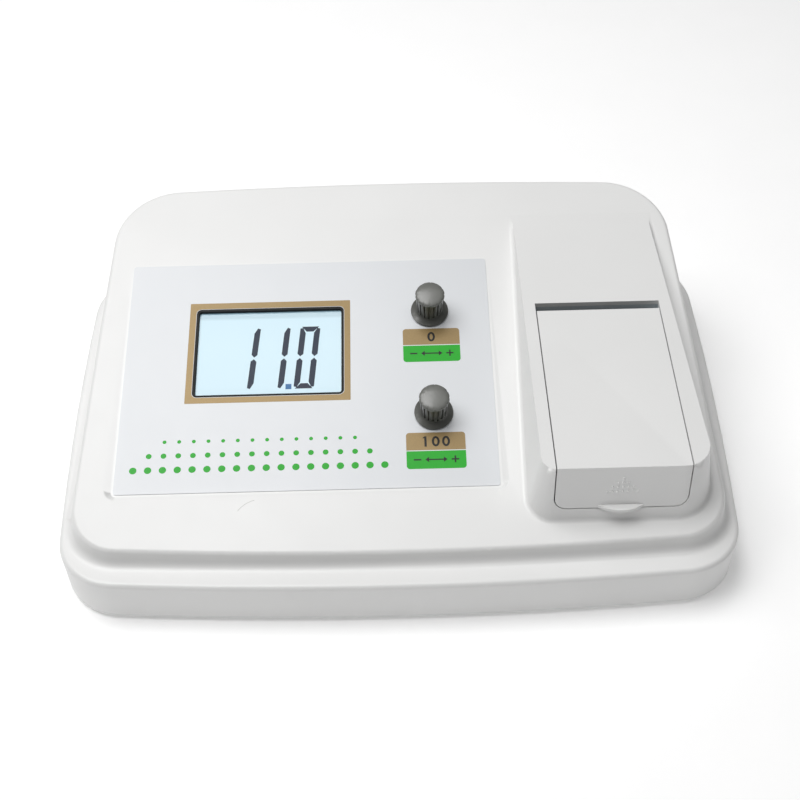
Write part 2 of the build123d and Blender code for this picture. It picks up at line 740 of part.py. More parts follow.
# knobs, shafts, potentiometers and their nuts
knob_low = FILM_THICKNESS + KNOB_GAP
knob_top = KNOB_HEIGHT
bush_top = BUSH_LENGTH - WALL
nut_low = FILM_THICKNESS
dome_out, dome_drop = dome_middle(KNOB_CAP_RADIUS, KNOB_DOME)
for name, place in knob_places.items():
    with BuildPart() as knob:
        knob_origin = panel_plane.from_local_coords((place[0], place[1], 0))
        turned = Plane(origin=knob_origin, x_dir=(1, 0, 0), z_dir=panel_plane.z_dir)
        with BuildSketch(Plane(origin=turned.origin, x_dir=turned.x_dir, z_dir=-turned.y_dir)):
            with BuildLine():
                Polyline(
                    (0, knob_top),
                    (0, knob_low),
                    (KNOB_SKIRT_RADIUS - SKIRT_EDGE, knob_low),
                    (KNOB_SKIRT_RADIUS, knob_low + SKIRT_EDGE),
                    (KNOB_GRIP_RADIUS + GRIP_BLEND, KNOB_SKIRT_HEIGHT),
                    (KNOB_GRIP_RADIUS, KNOB_SKIRT_HEIGHT + GRIP_RISE),
                    (KNOB_CAP_RADIUS, knob_top - KNOB_DOME - CAP_EDGE),
                    (KNOB_CAP_RADIUS, knob_top - KNOB_DOME),
                )
                ThreePointArc(
                    (KNOB_CAP_RADIUS, knob_top - KNOB_DOME),
                    (dome_out, knob_top - dome_drop),
                    (0, knob_top),
                )
            make_face()
        revolve(axis=Axis(turned.origin, turned.z_dir))
        with BuildSketch(turned.offset(KNOB_SKIRT_HEIGHT + FLUTE_START)):
            with PolarLocations(FLUTE_ROOT + FLUTE_REACH / 2, KNOB_FLUTES, start_angle=90 / KNOB_FLUTES):
                Rectangle(FLUTE_REACH, FLUTE_WIDTH)
        extrude(amount=KNOB_HEIGHT, mode=Mode.SUBTRACT)
        with BuildSketch(turned.offset(knob_low)):
            Circle(KNOB_CAVITY_RADIUS)
        extrude(amount=bush_top + MOVING_GAP - knob_low, mode=Mode.SUBTRACT)
        with BuildSketch(turned.offset(knob_low)):
            Circle(SHAFT_RADIUS)
        extrude(amount=SHAFT_LENGTH - knob_low, mode=Mode.SUBTRACT)
    save(knob.part, f"{name}_knob")
    save(rod(panel_plane, place, SHAFT_RADIUS, MOVING_GAP - WALL, SHAFT_LENGTH), f"{name}_shaft")
    pot_low = -WALL - POT_LENGTH
    with BuildPart() as pot:
        add(rod(panel_plane, place, POT_RADIUS, pot_low, -WALL))
        add(rod(panel_plane, place, BUSH_RADIUS, -WALL, bush_top))
        add(rod(panel_plane, place, SHAFT_RADIUS + RUNNING_GAP, -WALL, bush_top + 1), mode=Mode.SUBTRACT)
    save(pot.part, f"{name}_potentiometer")

with BuildPart() as pot_nuts:
    with BuildSketch(panel_plane.offset(nut_low)):
        with Locations(*knob_places.values()):
            RegularPolygon(NUT_ACROSS / 2, 6, major_radius=False)
            Circle(BUSH_RADIUS + RUNNING_GAP, mode=Mode.SUBTRACT)
    extrude(amount=NUT_THICKNESS)
save(pot_nuts.part, "pot_nuts")

knob_middle = on_panel(KNOB_X, (ZERO_KNOB_Y + SPAN_KNOB_Y) / 2)
save(
    rounded_plate(
        panel_plane,
        knob_middle,
        3 * POT_RADIUS,
        (ZERO_KNOB_Y - SPAN_KNOB_Y) / panel_shrink + 3 * POT_RADIUS,
        pot_low - POT_BOARD_THICKNESS,
        pot_low,
        DISPLAY_BOARD_CORNER,
    ),
    "potentiometer_board",
)

# chamber tub under the lid
chamber_hollow = trimmed_hump(WALL, rim_top / 2)
rail_front = -HUMP_HEIGHT
rail_rear = hinge_y - 3 * HINGE_EAR_RADIUS
with BuildPart() as chamber_tub:
    add(
        box_between(
            (opening_left - TUB_WALL, far_front, block_top),
            (opening_right + TUB_WALL, opening_rear + TUB_WALL, far_up),
        )
        & chamber_hollow
    )
    pocket = box_between((opening_left, far_front, opening_low), (opening_right, opening_rear, far_up))
    add(pocket, mode=Mode.SUBTRACT)
    seat = LID_THICKNESS + SEAL_THICKNESS + MOVING_GAP
    rail_right = opening_right - RAIL_WIDTH
    rail_left = opening_left + RAIL_WIDTH
    rails = box_between((opening_left, rail_front, opening_low), (rail_left, rail_rear, far_up))
    rails += box_between((rail_right, rail_front, opening_low), (opening_right, rail_rear, far_up))
    rails -= above(hump_plane.offset(-seat))
    rail_foot = hinge_z - HINGE_DEPTH
    rails -= box_between((opening_left - 1, rail_front - 1, 0), (opening_right + 1, hinge_y, rail_foot))
    add(rails)
    with BuildSketch(Plane.XY.offset(block_top)):
        with Locations((lid_mid_x, WELL_Y)):
            Circle(WELL_RADIUS + FIT_GAP)
    extrude(amount=TUB_FLOOR, mode=Mode.SUBTRACT)
    with BuildSketch(Plane.YZ.offset(opening_left - 2 * TUB_WALL)):
        with Locations((hinge_y, hinge_z)):
            Circle(HINGE_PIN_RADIUS)
    extrude(amount=opening_right - opening_left + 4 * TUB_WALL, mode=Mode.SUBTRACT)
save(chamber_tub.part, "chamber_tub")

with BuildPart() as lid_seal:
    for left in (opening_left, opening_right - RAIL_WIDTH):
        strip = box_between((left, rail_front, hinge_z - HINGE_DEPTH), (left + RAIL_WIDTH, rail_rear, far_up))
        add((strip & above(hump_plane.offset(-seat))) - above(hump_plane.offset(-seat + SEAL_THICKNESS)))
save(lid_seal.part, "lid_seal")

# lid: a bent plate cut from the hump's own form, with two ears on the pin
with BuildPart() as chamber_lid:
    add(hump_block(0, rim_top / 2) - above(hump_plane))
    add(hump_block(LID_THICKNESS, rim_top / 2) - above(hump_plane.offset(-LID_THICKNESS)), mode=Mode.SUBTRACT)
    with BuildPart(mode=Mode.PRIVATE) as window:
        with BuildSketch(Plane.XZ.offset(-LID_REAR_Y)):
            with Locations((lid_mid_x, (LID_LOW_Z + far_up) / 2)):
                RectangleRounded(LID_RIGHT - LID_LEFT, far_up - LID_LOW_Z, LID_LOWER_CORNER)
        extrude(amount=LID_REAR_Y - far_front)
    add(window.part, mode=Mode.INTERSECT)
    for left in (LID_LEFT, LID_RIGHT - HINGE_EAR_WIDTH):
        with BuildPart(mode=Mode.PRIVATE) as ear:
            with BuildSketch(Plane.YZ.offset(left)):
                with Locations((hinge_y, hinge_z)):
                    Circle(HINGE_EAR_RADIUS)
                with Locations((hinge_y, hinge_z + HINGE_DEPTH / 2)):
                    Rectangle(2 * HINGE_EAR_RADIUS, HINGE_DEPTH)
            extrude(amount=HINGE_EAR_WIDTH)
        add(ear.part - above(hump_plane.offset(-LID_THICKNESS / 2)))
    with BuildSketch(Plane.YZ.offset(LID_LEFT - 1)):
        with Locations((hinge_y, hinge_z)):
            Circle(HINGE_PIN_RADIUS + RUNNING_GAP)
    extrude(amount=LID_RIGHT - LID_LEFT + 2, mode=Mode.SUBTRACT)
    tab_y = HUMP_FRONT_Y - (HUMP_REFERENCE_Z - LID_LOW_Z) * front_lean
    with BuildSketch(Plane.XY.offset(LID_LOW_Z)):
        with BuildLine():
            left = lid_mid_x - LID_TAB_WIDTH / 2
            right = lid_mid_x + LID_TAB_WIDTH / 2
            tab_root = tab_y + LID_THICKNESS / 2
            Polyline((left, tab_y), (left, tab_root), (right, tab_root), (right, tab_y))
            ThreePointArc((right, tab_y), (lid_mid_x, tab_y - LID_TAB_REACH), (left, tab_y))
        make_face()
    extrude(amount=LID_TAB_THICKNESS)
save(chamber_lid.part, "chamber_lid")

with BuildPart() as hinge_pin:
    with BuildSketch(Plane.YZ.offset(opening_left - TUB_WALL)):
        with Locations((hinge_y, hinge_z)):
            Circle(HINGE_PIN_RADIUS)
    extrude(amount=opening_right - opening_left + 2 * TUB_WALL)
save(hinge_pin.part, "hinge_pin")

# cell block with the sample well and its light ports
with BuildPart() as cell_block:
    with BuildSketch(Plane.XY.offset(tray_top)):
        with Locations((lid_mid_x, WELL_Y)):
            Rectangle(BLOCK_SIZE, BLOCK_SIZE)
    extrude(amount=block_top - tray_top)
    chamfer(cell_block.edges().filter_by(Axis.Z), BLOCK_CHAMFER)
    with BuildSketch(Plane.XY.offset(WELL_FLOOR_Z)):
        with Locations((lid_mid_x, WELL_Y)):
            Circle(WELL_RADIUS)
    extrude(amount=block_top - WELL_FLOOR_Z, mode=Mode.SUBTRACT)
    with BuildSketch(Plane.YZ.offset(lid_mid_x - BLOCK_SIZE)):
        with Locations((WELL_Y, OPTICS_Z)):
            Circle(LAMP_PORT_RADIUS)
    extrude(amount=BLOCK_SIZE, mode=Mode.SUBTRACT)
    with BuildSketch(Plane.XZ.offset(-WELL_Y - BLOCK_SIZE)):
        with Locations((lid_mid_x, OPTICS_Z)):
            Circle(DETECTOR_PORT_RADIUS)
    extrude(amount=BLOCK_SIZE, mode=Mode.SUBTRACT)
save(cell_block.part, "cell_block")

# lamp, lens and detector
block_left = lid_mid_x - BLOCK_SIZE / 2
barrel_end = block_left - LAMP_BARREL_LENGTH
bore = LAMP_BARREL_RADIUS - BARREL_WALL


def bar_x(radius, start, end):
    """Round bar along X at the optics' height."""
    with BuildPart() as bar:
        with BuildSketch(Plane.YZ.offset(start)):
            with Locations((WELL_Y, OPTICS_Z)):
                Circle(radius)
        extrude(amount=end - start)
    return bar.part


barrel = bar_x(LAMP_BARREL_RADIUS, barrel_end, block_left)
save(barrel - bar_x(bore, barrel_end - 1, block_left + 1), "lamp_barrel")
lens_flat = block_left - LENS_THICKNESS - LENS_SETBACK
lens_out, lens_drop = dome_middle(bore, LENS_BULGE)
with BuildPart() as lens:
    with BuildSketch(Plane.XY.offset(OPTICS_Z)):
        with BuildLine():
            apex = lens_flat + LENS_THICKNESS
            rim = apex - LENS_BULGE
            ThreePointArc((apex, WELL_Y), (apex - lens_drop, WELL_Y + lens_out), (rim, WELL_Y + bore))
            Polyline((rim, WELL_Y + bore), (lens_flat, WELL_Y + bore), (lens_flat, WELL_Y), (apex, WELL_Y))
        make_face()
    revolve(axis=Axis((0, WELL_Y, OPTICS_Z), (1, 0, 0)))
save(lens.part, "condenser_lens")
lamp_seat = barrel_end + LAMP_HOLDER_LENGTH
holder_flange = bar_x(LAMP_BARREL_RADIUS, barrel_end - LAMP_HOLDER_FLANGE, barrel_end)
save(bar_x(bore, barrel_end, lamp_seat) + holder_flange, "lamp_holder")
with BuildPart() as lamp:
    add(bar_x(BULB_RADIUS, lamp_seat, lamp_seat + BULB_NECK))
    with Locations((lamp_seat + BULB_NECK + BULB_RADIUS * BULB_SEAT, WELL_Y, OPTICS_Z)):
        Sphere(BULB_RADIUS)
save(lamp.part, "lamp")

block_rear = WELL_Y + BLOCK_SIZE / 2
with BuildPart() as detector:
    with BuildSketch(Plane.XZ.offset(-block_rear)):
        with Locations((lid_mid_x, OPTICS_Z)):
            Circle(DETECTOR_RADIUS)
    extrude(amount=-DETECTOR_LENGTH)
save(detector.part, "light_detector")
with BuildPart() as detector_board:
    with BuildSketch(Plane.XZ.offset(-block_rear - DETECTOR_LENGTH)):
        with Locations((lid_mid_x, (tray_top + block_top) / 2)):
            Rectangle(BLOCK_SIZE * DETECTOR_BOARD_SHARE, block_top - tray_top)
    extrude(amount=-BOARD_THICKNESS)
save(detector_board.part, "detector_board")

# rear fittings: inlet, switch and fuse
pad_plane = Plane.XZ.offset(-REAR_PAD_Y)


def on_pad(x, width, height, start, depth, corner=0.0):
    """Block on the rear pad: it starts at a distance behind the pad's face and reaches inwards."""
    with BuildPart() as block:
        with BuildSketch(pad_plane.offset(-start)):
            with Locations((x, FITTING_Z)):
                if corner > 0:
                    RectangleRounded(width, height, corner)
                else:
                    Rectangle(width, height)
        extrude(amount=depth)
    return block.part


def pad_rod(x, radius, start, depth):
    """Round bar on the rear pad, as on_pad."""
    with BuildPart() as block:
        with BuildSketch(pad_plane.offset(-start)):
            with Locations((x, FITTING_Z)):
                Circle(radius)
        extrude(amount=depth)
    return block.part


with BuildPart() as inlet_pins:
    for x, z in ((-PIN_SPREAD, -2), (PIN_SPREAD, -2), (0, 2)):
        low = (INLET_X + x - 1, REAR_PAD_Y - INLET_DEPTH, FITTING_Z + z - 2)
        add(box_between(low, (INLET_X + x + 1, REAR_PAD_Y - 2, FITTING_Z + z + 2)))
save(inlet_pins.part, "inlet_pins")

with BuildPart() as power_inlet:
    flange_grow = 2 * INLET_LIP
    add(on_pad(INLET_X, INLET_WIDTH + flange_grow, INLET_HEIGHT + flange_grow, FLANGE, FLANGE, INLET_CORNER))
    add(on_pad(INLET_X, INLET_WIDTH, INLET_HEIGHT, 0, INLET_DEPTH))
    socket_width = INLET_WIDTH - flange_grow
    socket_height = INLET_HEIGHT - flange_grow
    socket_depth = FLANGE + INLET_DEPTH - INLET_LIP
    add(on_pad(INLET_X, socket_width, socket_height, FLANGE + 1, socket_depth), mode=Mode.SUBTRACT)
    add(inlet_pins.part, mode=Mode.SUBTRACT)
save(power_inlet.part, "power_inlet")
with BuildPart() as switch_housing:
    add(on_pad(SWITCH_X, SWITCH_WIDTH + 3, SWITCH_HEIGHT + 3, FLANGE, FLANGE, 1))
    add(on_pad(SWITCH_X, SWITCH_WIDTH, SWITCH_HEIGHT, 0, SWITCH_DEPTH))
    add(on_pad(SWITCH_X, SWITCH_WIDTH - 2, SWITCH_HEIGHT - 2, FLANGE + 1, FLANGE + 1 + 8), mode=Mode.SUBTRACT)
    with BuildSketch(Plane.YZ.offset(SWITCH_X - SWITCH_WIDTH / 2)):
        with Locations((REAR_PAD_Y - 2, FITTING_Z)):
            Circle(ROCKER_STUB + RUNNING_GAP)
    extrude(amount=SWITCH_WIDTH, mode=Mode.SUBTRACT)
save(switch_housing.part, "switch_housing")

rocker_half = SWITCH_HEIGHT / 2 - 1 - ROCKER_END_GAP
rocker_y = REAR_PAD_Y - 2
rocker_lift = rocker_half * tan(radians(ROCKER_TILT / 2))
with BuildPart() as switch_rocker:
    with BuildSketch(Plane.YZ.offset(SWITCH_X - SWITCH_WIDTH / 2 + 1 + MOVING_GAP)):
        with BuildLine():
            face_y = REAR_PAD_Y + FLANGE
            Polyline(
                (rocker_y - ROCKER_STUB, FITTING_Z - ROCKER_ROOT),
                (face_y + rocker_lift * 2, FITTING_Z - rocker_half),
                (face_y, FITTING_Z),
                (face_y, FITTING_Z + rocker_half),
                (rocker_y - ROCKER_STUB, FITTING_Z + ROCKER_ROOT),
                close=True,
            )
        make_face()
    extrude(amount=SWITCH_WIDTH - 2 - 2 * MOVING_GAP)
    with BuildSketch(Plane.YZ.offset(SWITCH_X - SWITCH_WIDTH / 2 + FIT_GAP)):
        with Locations((rocker_y, FITTING_Z)):
            Circle(ROCKER_STUB)
    extrude(amount=SWITCH_WIDTH - 2 * FIT_GAP)
save(switch_rocker.part, "switch_rocker")

with BuildPart() as fuse_holder:
    add(pad_rod(FUSE_X, FUSE_RADIUS + FUSE_FLANGE, FLANGE, FLANGE))
    add(pad_rod(FUSE_X, FUSE_RADIUS, 0, FUSE_DEPTH))
    fuse_bore_depth = FLANGE + FUSE_DEPTH - 2
    add(pad_rod(FUSE_X, FUSE_RADIUS - FUSE_WALL, FLANGE + 1, fuse_bore_depth), mode=Mode.SUBTRACT)
save(fuse_holder.part, "fuse_holder")
cap_radius = FUSE_RADIUS - FUSE_WALL - RUNNING_GAP
with BuildPart() as fuse_cap:
    add(pad_rod(FUSE_X, cap_radius, FLANGE + 3, FLANGE + 3 + FUSE_CAP_DEPTH))
    add(on_pad(FUSE_X, 2 * cap_radius + 1, FUSE_SLOT_WIDTH, FLANGE + 4, 2), mode=Mode.SUBTRACT)
save(fuse_cap.part, "fuse_cap")
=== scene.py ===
"""Looks of a bench turbidity meter: its mouldings, printed panel, display, knobs and fittings."""

import json
from math import atan2, cos, hypot, pi, radians, sin, tan

import bmesh
import bpy
from bpy.props import FloatProperty, FloatVectorProperty, IntProperty, PointerProperty
from mathutils import Matrix, Vector


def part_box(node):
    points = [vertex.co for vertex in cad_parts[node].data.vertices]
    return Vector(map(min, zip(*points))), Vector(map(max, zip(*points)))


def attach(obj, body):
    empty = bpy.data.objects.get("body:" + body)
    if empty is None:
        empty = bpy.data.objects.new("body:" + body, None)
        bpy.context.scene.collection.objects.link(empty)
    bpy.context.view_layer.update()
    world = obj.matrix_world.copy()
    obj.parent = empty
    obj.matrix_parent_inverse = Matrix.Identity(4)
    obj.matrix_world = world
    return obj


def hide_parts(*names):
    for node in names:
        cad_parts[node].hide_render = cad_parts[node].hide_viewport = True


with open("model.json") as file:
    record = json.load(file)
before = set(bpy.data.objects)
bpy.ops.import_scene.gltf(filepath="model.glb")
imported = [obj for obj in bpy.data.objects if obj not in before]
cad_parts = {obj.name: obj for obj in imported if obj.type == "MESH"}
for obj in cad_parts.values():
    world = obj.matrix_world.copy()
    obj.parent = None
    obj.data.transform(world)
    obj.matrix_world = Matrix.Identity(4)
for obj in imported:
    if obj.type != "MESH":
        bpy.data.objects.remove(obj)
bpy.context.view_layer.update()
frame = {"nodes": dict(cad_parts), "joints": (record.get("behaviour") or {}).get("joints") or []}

bl_info = {
    "name": "Turbidity meter",
    "version": (1, 0, 0),
    "blender": (4, 5, 0),
    "location": "3D View > Sidebar > Turbidity meter",
    "description": "Dresses the meter's solids and adds its printed panel, display and small parts",
    "category": "Object",
}

MM = 0.001
# the panel's plane: its height over the middle of the case, and its slope
PANEL_HEIGHT = 63.0
PANEL_SLOPE = 15.81
FILM_TOP = 0.4
LCD_TOP = -1.4
# the hump's top: its height over the middle of the case, and its slope
HUMP_HEIGHT = 79.3
HUMP_SLOPE = 4.54
# the camera, chosen to match the photograph, in millimetres and degrees
CAMERA_PLACE = (-0.34, -457.45, 499.88)
CAMERA_YAW = 0.326
CAMERA_PITCH = 46.0
CAMERA_ROLL = -1.218
CAMERA_LENS = 54.0
# the ink's thickness, and the knobs' height over the panel
PRINT_LIFT = 0.03
KNOB_TOP = 18.0
# a short curved scratch on the deck, and the middle of the circle that it follows
SCRATCH_PLACE = (-75.5, -83.0, 39.5)
SCRATCH_CENTRE = (-67.3, -94.3, 36.3)
SCRATCH_RADIUS = 14.3
SCRATCH_HALF_WIDTH = 0.16
SCRATCH_REACH = 6.0
# how far the rear crease of the hump is smoothed to either side
CREASE_REACH = (7.0, 14.0)
CREASE_WEIGHT = 80
# points closer than this are one point of a mesh, and faces flatter than this, in degrees, one face
WELD = 0.002
FLAT_ANGLE = 0.3
CRYSTAL_GLOW = 0.2


def plane_matrix(height, slope):
    """Turns a sloped plane's own millimetres into metres in the row frame."""
    tilt = Matrix.Rotation(radians(slope), 4, "X")
    return Matrix.Scale(MM, 4) @ Matrix.Translation((0, 0, height)) @ tilt


PANEL = plane_matrix(PANEL_HEIGHT, PANEL_SLOPE)


def linear(code, alpha=1.0):
    """Linear colour of an sRGB hex code such as #40C04A; a colour that is linear already stays."""
    if not isinstance(code, str):
        return tuple(code)
    channels = [int(code[i : i + 2], 16) / 255 for i in (1, 3, 5)]
    return (*(c / 12.92 if c <= 0.04045 else ((c + 0.055) / 1.055) ** 2.4 for c in channels), alpha)


def per_mm(size):
    """Texture scale on Object coordinates that gives features of this size in millimetres."""
    return 1 / (size * MM)


def add(tree, kind, inputs=None, **settings):
    """Adds a node with its settings, values and links."""
    node = tree.nodes.new(kind)
    for name, value in settings.items():
        setattr(node, name, value)
    for socket, value in (inputs or {}).items():
        if isinstance(value, bpy.types.NodeSocket):
            tree.links.new(value, node.inputs[socket])
        else:
            node.inputs[socket].default_value = value
    return node


def start(name, **values):
    """A material with its tree, its shader and its Object coordinates."""
    material = bpy.data.materials.new(name)
    material.use_nodes = True
    tree = material.node_tree
    shader = tree.nodes["Principled BSDF"]
    for socket, value in values.items():
        shader.inputs[socket.replace("_", " ")].default_value = value
    coords = add(tree, "ShaderNodeTexCoord").outputs["Object"]
    return material, tree, shader, coords


def two_tones(tree, shader, factor, dark, light):
    """Colour that runs from one tone to another with a texture."""
    ramp = add(tree, "ShaderNodeValToRGB", {"Fac": factor})
    ramp.color_ramp.elements[0].color = dark
    ramp.color_ramp.elements[1].color = light
    tree.links.new(ramp.outputs["Color"], shader.inputs["Base Color"])


def rough_between(tree, shader, factor, low, high):
    """Roughness that runs between two values with a texture."""
    span = add(tree, "ShaderNodeMapRange", {"Value": factor, "To Min": low, "To Max": high})
    tree.links.new(span.outputs["Result"], shader.inputs["Roughness"])


def bumped(tree, shader, height, depth, strength=1.0):
    """Bump of a real depth in millimetres."""
    bump = add(tree, "ShaderNodeBump", {"Height": height, "Distance": depth * MM, "Strength": strength})
    tree.links.new(bump.outputs["Normal"], shader.inputs["Normal"])


def noise(tree, coords, size, detail=3.0, roughness=0.5):
    """Noise with features of a real size in millimetres."""
    settings = {"Vector": coords, "Scale": per_mm(size), "Detail": detail, "Roughness": roughness}
    return add(tree, "ShaderNodeTexNoise", settings).outputs["Fac"]


def moulded_abs(name, colour, shade, roughness=0.36):
    """Injection moulded ABS: satin, with a fine spark eroded grain and faint clouding from the mould."""
    material, tree, shader, coords = start(name, IOR=1.54, Specular_IOR_Level=0.45, Coat_Weight=0.04)
    clouds = noise(tree, coords, 60.0, 2.0)
    two_tones(tree, shader, clouds, linear(shade), linear(colour))
    # the grain is about 0.3 mm; it is drawn at 0.7 mm so that it shows at all
    grain = noise(tree, coords, 0.7, 4.0, 0.6)
    rough_between(tree, shader, noise(tree, coords, 14.0), roughness - 0.05, roughness + 0.08)
    bumped(tree, shader, grain, 0.012, 0.35)
    return material


def distance(tree, coords, place):
    """Distance in metres from a place given in millimetres."""
    inputs = {0: coords, 1: [value * MM for value in place]}
    return add(tree, "ShaderNodeVectorMath", inputs, operation="DISTANCE").outputs["Value"]


def handled_abs(name, colour, shade):
    """White case ABS with one short scratch, as a handled case has."""
    material = moulded_abs(name, colour, shade)
    tree = material.node_tree
    shader = tree.nodes["Principled BSDF"]
    coords = add(tree, "ShaderNodeTexCoord").outputs["Object"]
    # one arc, kept to a short stretch by its distance from the scratch's middle
    arc = distance(tree, coords, SCRATCH_CENTRE)
    on_arc = {0: arc, 1: SCRATCH_RADIUS * MM, 2: SCRATCH_HALF_WIDTH * MM}
    line = add(tree, "ShaderNodeMath", on_arc, operation="COMPARE")
    in_reach = {0: distance(tree, coords, SCRATCH_PLACE), 1: SCRATCH_REACH * MM}
    near = add(tree, "ShaderNodeMath", in_reach, operation="LESS_THAN")
    both = add(tree, "ShaderNodeMath", {0: line.outputs[0], 1: near.outputs[0]}, operation="MULTIPLY")
    old = shader.inputs["Base Color"].links[0].from_socket
    mark = add(tree, "ShaderNodeMix", {"Factor": both.outputs[0]}, data_type="RGBA")
    tree.links.new(old, mark.inputs["A"])
    mark.inputs["B"].default_value = linear("#C9C9C6")
    tree.links.new(mark.outputs["Result"], shader.inputs["Base Color"])
    return material


def printed_film(name, colour, shade):
    """Printed polyester film: smooth and cooler than the case, with a slight orange peel."""
    material, tree, shader, coords = start(name, IOR=1.57, Coat_Weight=0.15, Coat_Roughness=0.22)
    two_tones(tree, shader, noise(tree, coords, 35.0), linear(shade), linear(colour))
    rough_between(tree, shader, noise(tree, coords, 9.0), 0.3, 0.4)
    bumped(tree, shader, noise(tree, coords, 1.8, 2.0), 0.01, 0.3)
    return material


def screen_ink(name, colour, shade):
    """Screen printed ink: even, with the mesh of the screen just visible."""
    material, tree, shader, coords = start(name, IOR=1.5, Specular_IOR_Level=0.35)
    mesh = add(tree, "ShaderNodeTexVoronoi", {"Vector": coords, "Scale": per_mm(0.45)})
    two_tones(tree, shader, mesh.outputs["Distance"], linear(colour), linear(shade))
    rough_between(tree, shader, noise(tree, coords, 3.0), 0.38, 0.5)
    bumped(tree, shader, mesh.outputs["Distance"], 0.006, 0.3)
    return material


def gold_ink(name, colour, shade):
    """Tan metallic ink: fine pigment flakes give it a faint sparkle."""
    material, tree, shader, coords = start(name, IOR=1.5, Metallic=0.25, Roughness=0.4)
    flakes = add(tree, "ShaderNodeTexVoronoi", {"Vector": coords, "Scale": per_mm(0.35)})
    two_tones(tree, shader, flakes.outputs["Color"], linear(shade), linear(colour))
    bumped(tree, shader, flakes.outputs["Distance"], 0.008, 0.4)
    return material


def lit_crystal(name, body, edge, middle, strip, low, high):
    """Back-lit liquid crystal glass: paler in the middle, with its shaded strip along the top."""
    material, tree, shader, coords = start(name, Roughness=0.12, IOR=1.5, Coat_Weight=0.3)
    # the pattern runs along the panel's slope, so the coordinates are turned to lie in its plane
    tilt = {"Vector": coords, "Rotation": (radians(-PANEL_SLOPE), 0, 0)}
    place = add(tree, "ShaderNodeMapping", tilt).outputs["Vector"]
    up = add(tree, "ShaderNodeSeparateXYZ", {"Vector": place}).outputs["Y"]
    span = add(tree, "ShaderNodeMapRange", {"Value": up, "From Min": low, "From Max": high})
    shader.inputs["Base Color"].default_value = linear(body)
    ramp = add(tree, "ShaderNodeValToRGB", {"Fac": span.outputs["Result"]})
    ramp.color_ramp.elements[0].color = linear(edge)
    ramp.color_ramp.elements[1].color = linear(strip)
    for position, colour in ((0.12, middle), (0.6, middle), (0.9, edge), (0.93, strip)):
        ramp.color_ramp.elements.new(position).color = linear(colour)
    tree.links.new(ramp.outputs["Color"], shader.inputs["Emission Color"])
    shader.inputs["Emission Strength"].default_value = CRYSTAL_GLOW
    bumped(tree, shader, noise(tree, coords, 2.5), 0.004, 0.15)
    return material


def soft_black(name, colour, shade, roughness=0.55):
    """Black moulded plastic with a fine matt grain."""
    material, tree, shader, coords = start(name, IOR=1.52)
    two_tones(tree, shader, noise(tree, coords, 12.0), linear(colour), linear(shade))
    rough_between(tree, shader, noise(tree, coords, 5.0), roughness - 0.08, roughness + 0.08)
    bumped(tree, shader, noise(tree, coords, 0.6, 3.0), 0.02, 0.4)
    return material


def knob_plastic(name, colour, shade):
    """Moulded grey ABS knob: satin sides, polished a little by fingers."""
    material, tree, shader, coords = start(name, IOR=1.54, Coat_Weight=0.25, Coat_Roughness=0.18)
    two_tones(tree, shader, noise(tree, coords, 6.0), linear(shade), linear(colour))
    rough_between(tree, shader, noise(tree, coords, 3.0), 0.24, 0.38)
    bumped(tree, shader, noise(tree, coords, 0.5, 3.0), 0.008, 0.3)
    return material


def vulcanised(name, colour, shade, grain):
    """Black rubber or foam: matt, with the bloom and the pores of its kind."""
    material, tree, shader, coords = start(name, IOR=1.5, Sheen_Weight=0.15, Sheen_Roughness=0.6)
    two_tones(tree, shader, noise(tree, coords, 4.0), linear(colour), linear(shade))
    rough_between(tree, shader, noise(tree, coords, 2.0), 0.75, 0.92)
    pores = add(tree, "ShaderNodeTexVoronoi", {"Vector": coords, "Scale": per_mm(grain)})
    bumped(tree, shader, pores.outputs["Distance"], 0.06, 0.6)
    return material


def turned_metal(name, colour, shade, pitch, roughness):
    """Plated or bare metal with the fine lines of its turning or drawing."""
    material, tree, shader, coords = start(name, Metallic=1.0)
    stretched = add(tree, "ShaderNodeMapping", {"Vector": coords, "Scale": (1, 1, 8)}).outputs["Vector"]
    lines = add(tree, "ShaderNodeTexNoise", {"Vector": stretched, "Scale": per_mm(pitch), "Detail": 4.0})
    two_tones(tree, shader, lines.outputs["Fac"], linear(shade), linear(colour))
    rough_between(tree, shader, lines.outputs["Fac"], roughness - 0.08, roughness + 0.1)
    bumped(tree, shader, lines.outputs["Fac"], 0.01, 0.3)
    return material


def stacked_iron(name, colour, shade):
    """Varnished transformer sheets: the edges of half millimetre laminations."""
    material, tree, shader, coords = start(name, Metallic=0.6, Roughness=0.5)
    bands = add(tree, "ShaderNodeTexWave", {"Vector": coords, "Scale": per_mm(3.2), "Distortion": 0.3})
    bands.bands_direction = "Y"
    two_tones(tree, shader, bands.outputs["Fac"], linear(shade), linear(colour))
    bumped(tree, shader, bands.outputs["Fac"], 0.05, 0.6)
    return material


def lacquered_board(name, colour, shade):
    """Circuit board: green lacquer over a square net of copper tracks."""
    material, tree, shader, coords = start(name, IOR=1.5, Coat_Weight=0.2)
    tracks = add(tree, "ShaderNodeTexBrick", {"Vector": coords, "Scale": per_mm(9.0)})
    tracks.inputs["Color1"].default_value = linear(colour)
    tracks.inputs["Color2"].default_value = linear(colour)
    tracks.inputs["Mortar"].default_value = linear(shade)
    tree.links.new(tracks.outputs["Color"], shader.inputs["Base Color"])
    rough_between(tree, shader, noise(tree, coords, 5.0), 0.3, 0.42)
    bumped(tree, shader, tracks.outputs["Fac"], 0.03, 0.4)
    return material


